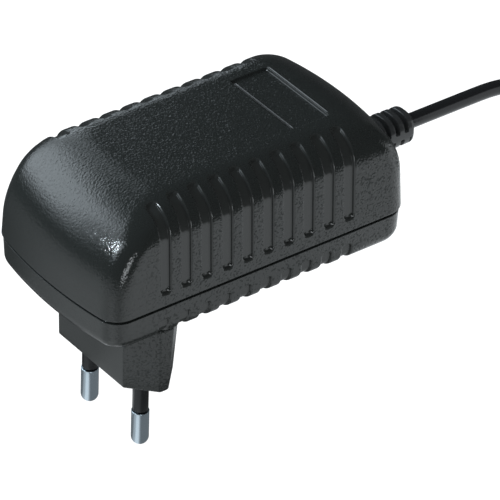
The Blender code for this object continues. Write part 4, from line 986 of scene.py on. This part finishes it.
# Around the object the table is bright to the left and in front, and dark behind and beyond
TO_LEFT, TO_RIGHT, TO_FRONT, TO_BACK = (-1.0, 0.0), (1.0, 0.0), (0.0, -1.0), (0.0, 1.0)
ROOM_HALF, ROOM_TOP = 2.5, 2.0
room_z = floor_z + 0.0005
room_floor = rectangle(-ROOM_HALF, -ROOM_HALF, ROOM_HALF, ROOM_HALF, room_z)
room_ceiling = rectangle(-ROOM_HALF, -ROOM_HALF, ROOM_HALF, ROOM_HALF, ROOM_TOP)
table = studio_card("table_glow", room_floor, ONE_FACE, 1.0)
tree = table.data.materials[0].node_tree
spot = tree.nodes.new("ShaderNodeTexCoord").outputs["Object"]
bearing = vector_math(tree, 'NORMALIZE', vector_math(tree, 'MULTIPLY', spot, (1.0, 1.0, 0.0)))
front_edge = climb(tree, spot, TO_FRONT, 0.150, 0.156, 1.0, 0.05)
left = product(tree,
               climb(tree, bearing, (-0.966, -0.259), 0.10, 0.95, 0.06, 0.70),
               climb(tree, spot, TO_FRONT, 0.045, 0.095, 1.0, 0.62),
               climb(tree, spot, TO_LEFT, 0.22, 0.40, 1.0, 0.15),
               climb(tree, spot, TO_FRONT, 0.150, 0.160, 1.0, 0.08),
               climb(tree, bearing, (-0.707, -0.707), 0.92, 0.99, 1.0, 1.4))
front = product(tree,
                climb(tree, spot, TO_FRONT, 0.01, 0.085, 0.35, 0.95),
                climb(tree, spot, TO_BACK, 0.012, 0.030, 1.0, 0.12),
                front_edge,
                climb(tree, spot, TO_RIGHT, -0.06, -0.01, 0.5, 1.0))
right = product(tree,
                climb(tree, spot, TO_RIGHT, 0.066, 0.080, 0.0, 0.95),
                climb(tree, spot, TO_BACK, 0.025, 0.040, 1.0, 0.0),
                front_edge)
block_side = product(tree,
                     climb(tree, spot, TO_LEFT, 0.013, 0.020, 0.0, 0.31),
                     climb(tree, spot, TO_LEFT, 0.044, 0.054, 1.0, 0.0),
                     climb(tree, spot, TO_BACK, -0.012, 0.004, 0.0, 1.0),
                     climb(tree, spot, TO_BACK, 0.050, 0.060, 1.0, 0.0))
# Round each pin the table is bright on one side only
parted = tree.nodes.new("ShaderNodeSeparateXYZ")
tree.links.new(spot, parted.inputs[0])
pin_y = number_math(tree, 'MULTIPLY', number_math(tree, 'SIGN', parted.outputs["Y"]), PIN_PITCH / 2000)
joined = tree.nodes.new("ShaderNodeCombineXYZ")
tree.links.new(parted.outputs["X"], joined.inputs["X"])
tree.links.new(number_math(tree, 'SUBTRACT', parted.outputs["Y"], pin_y), joined.inputs["Y"])
from_pin = vector_math(tree, 'LENGTH', joined.outputs["Vector"])
round_pin = vector_math(tree, 'NORMALIZE', joined.outputs["Vector"])
beside_pin = product(tree,
                     climb(tree, round_pin, (-0.91, -0.41), 0.86, 0.985, 0.20, 0.95),
                     stepped(tree, from_pin, 0.0135, 0.0165, 1.0, 0.0))
beside_sleeve = product(tree,
                        climb(tree, round_pin, (-0.97, -0.25), 0.55, 0.90, 0.05, 0.52),
                        stepped(tree, from_pin, 0.034, 0.040, 1.0, 0.0))
outside = stepped(tree, from_pin, 0.026, 0.036, 0.0, 1.0)
glow = product(tree, number_math(tree, 'MAXIMUM', left, front), outside)
for zone in (block_side, beside_pin, beside_sleeve, right):
    glow = number_math(tree, 'MAXIMUM', glow, zone)
tree.links.new(glow, tree.nodes["Principled BSDF"].inputs["Emission Strength"])

# A dark room round it, and two cards that the front corner and the cord reflect
sides = [(k, (k + 1) % 4, (k + 1) % 4 + 4, k + 4) for k in range(4)]
studio_card("dark_room", room_floor + room_ceiling, sides + [(4, 5, 6, 7)], 0.02)
studio_card("front_patch", upright((-0.165, -0.260), (-0.095, -0.290), room_z, 0.058), ONE_FACE, 5.5)
studio_card("cord_glow", upright((0.101, -0.035), (0.150, -0.035), 0.014, 0.056), ONE_FACE, 0.9)

AIM = Vector((0.01, 0.0, 0.035))


def softbox(name, azimuth, elevation, wide, tall, glow, distance=0.45, shape='RECTANGLE'):
    """Area light seen from the case at an azimuth and elevation, as many degrees wide and tall."""
    a = math.radians(azimuth)
    way = seen_from(a, math.radians(elevation))
    data = bpy.data.lights.new(name, 'AREA')
    data.shape = shape
    data.color = (0.86, 0.965, 1.04)
    data.size = 2 * distance * math.tan(math.radians(wide / 2))
    data.size_y = 2 * distance * math.tan(math.radians(tall / 2))
    data.energy = glow * math.pi * data.size * data.size_y
    made = placed(name, data)
    side = Vector((math.cos(a), math.sin(a), 0))
    turn = Matrix((side, way.cross(side), way)).transposed().to_4x4()
    made.matrix_world = Matrix.Translation(AIM + way * distance) @ turn
    made.visible_camera = False


softbox("main", -149, 31, 30, 26, 1.9)
softbox("main_middle", -149, 31, 42, 34, 1.1, 0.46)
softbox("main_wide", -149, 31, 56, 44, 0.85, 0.47)
softbox("side", -97, 30, 14, 24, 3.3, 0.44)
softbox("right", 174, 31, 30, 34, 1.35, 0.44)
softbox("right_low", 155, 18, 20, 14, 1.9, 0.42)
softbox("glint", -108, 29, 3.8, 8.5, 115.0, 0.40, 'ELLIPSE')
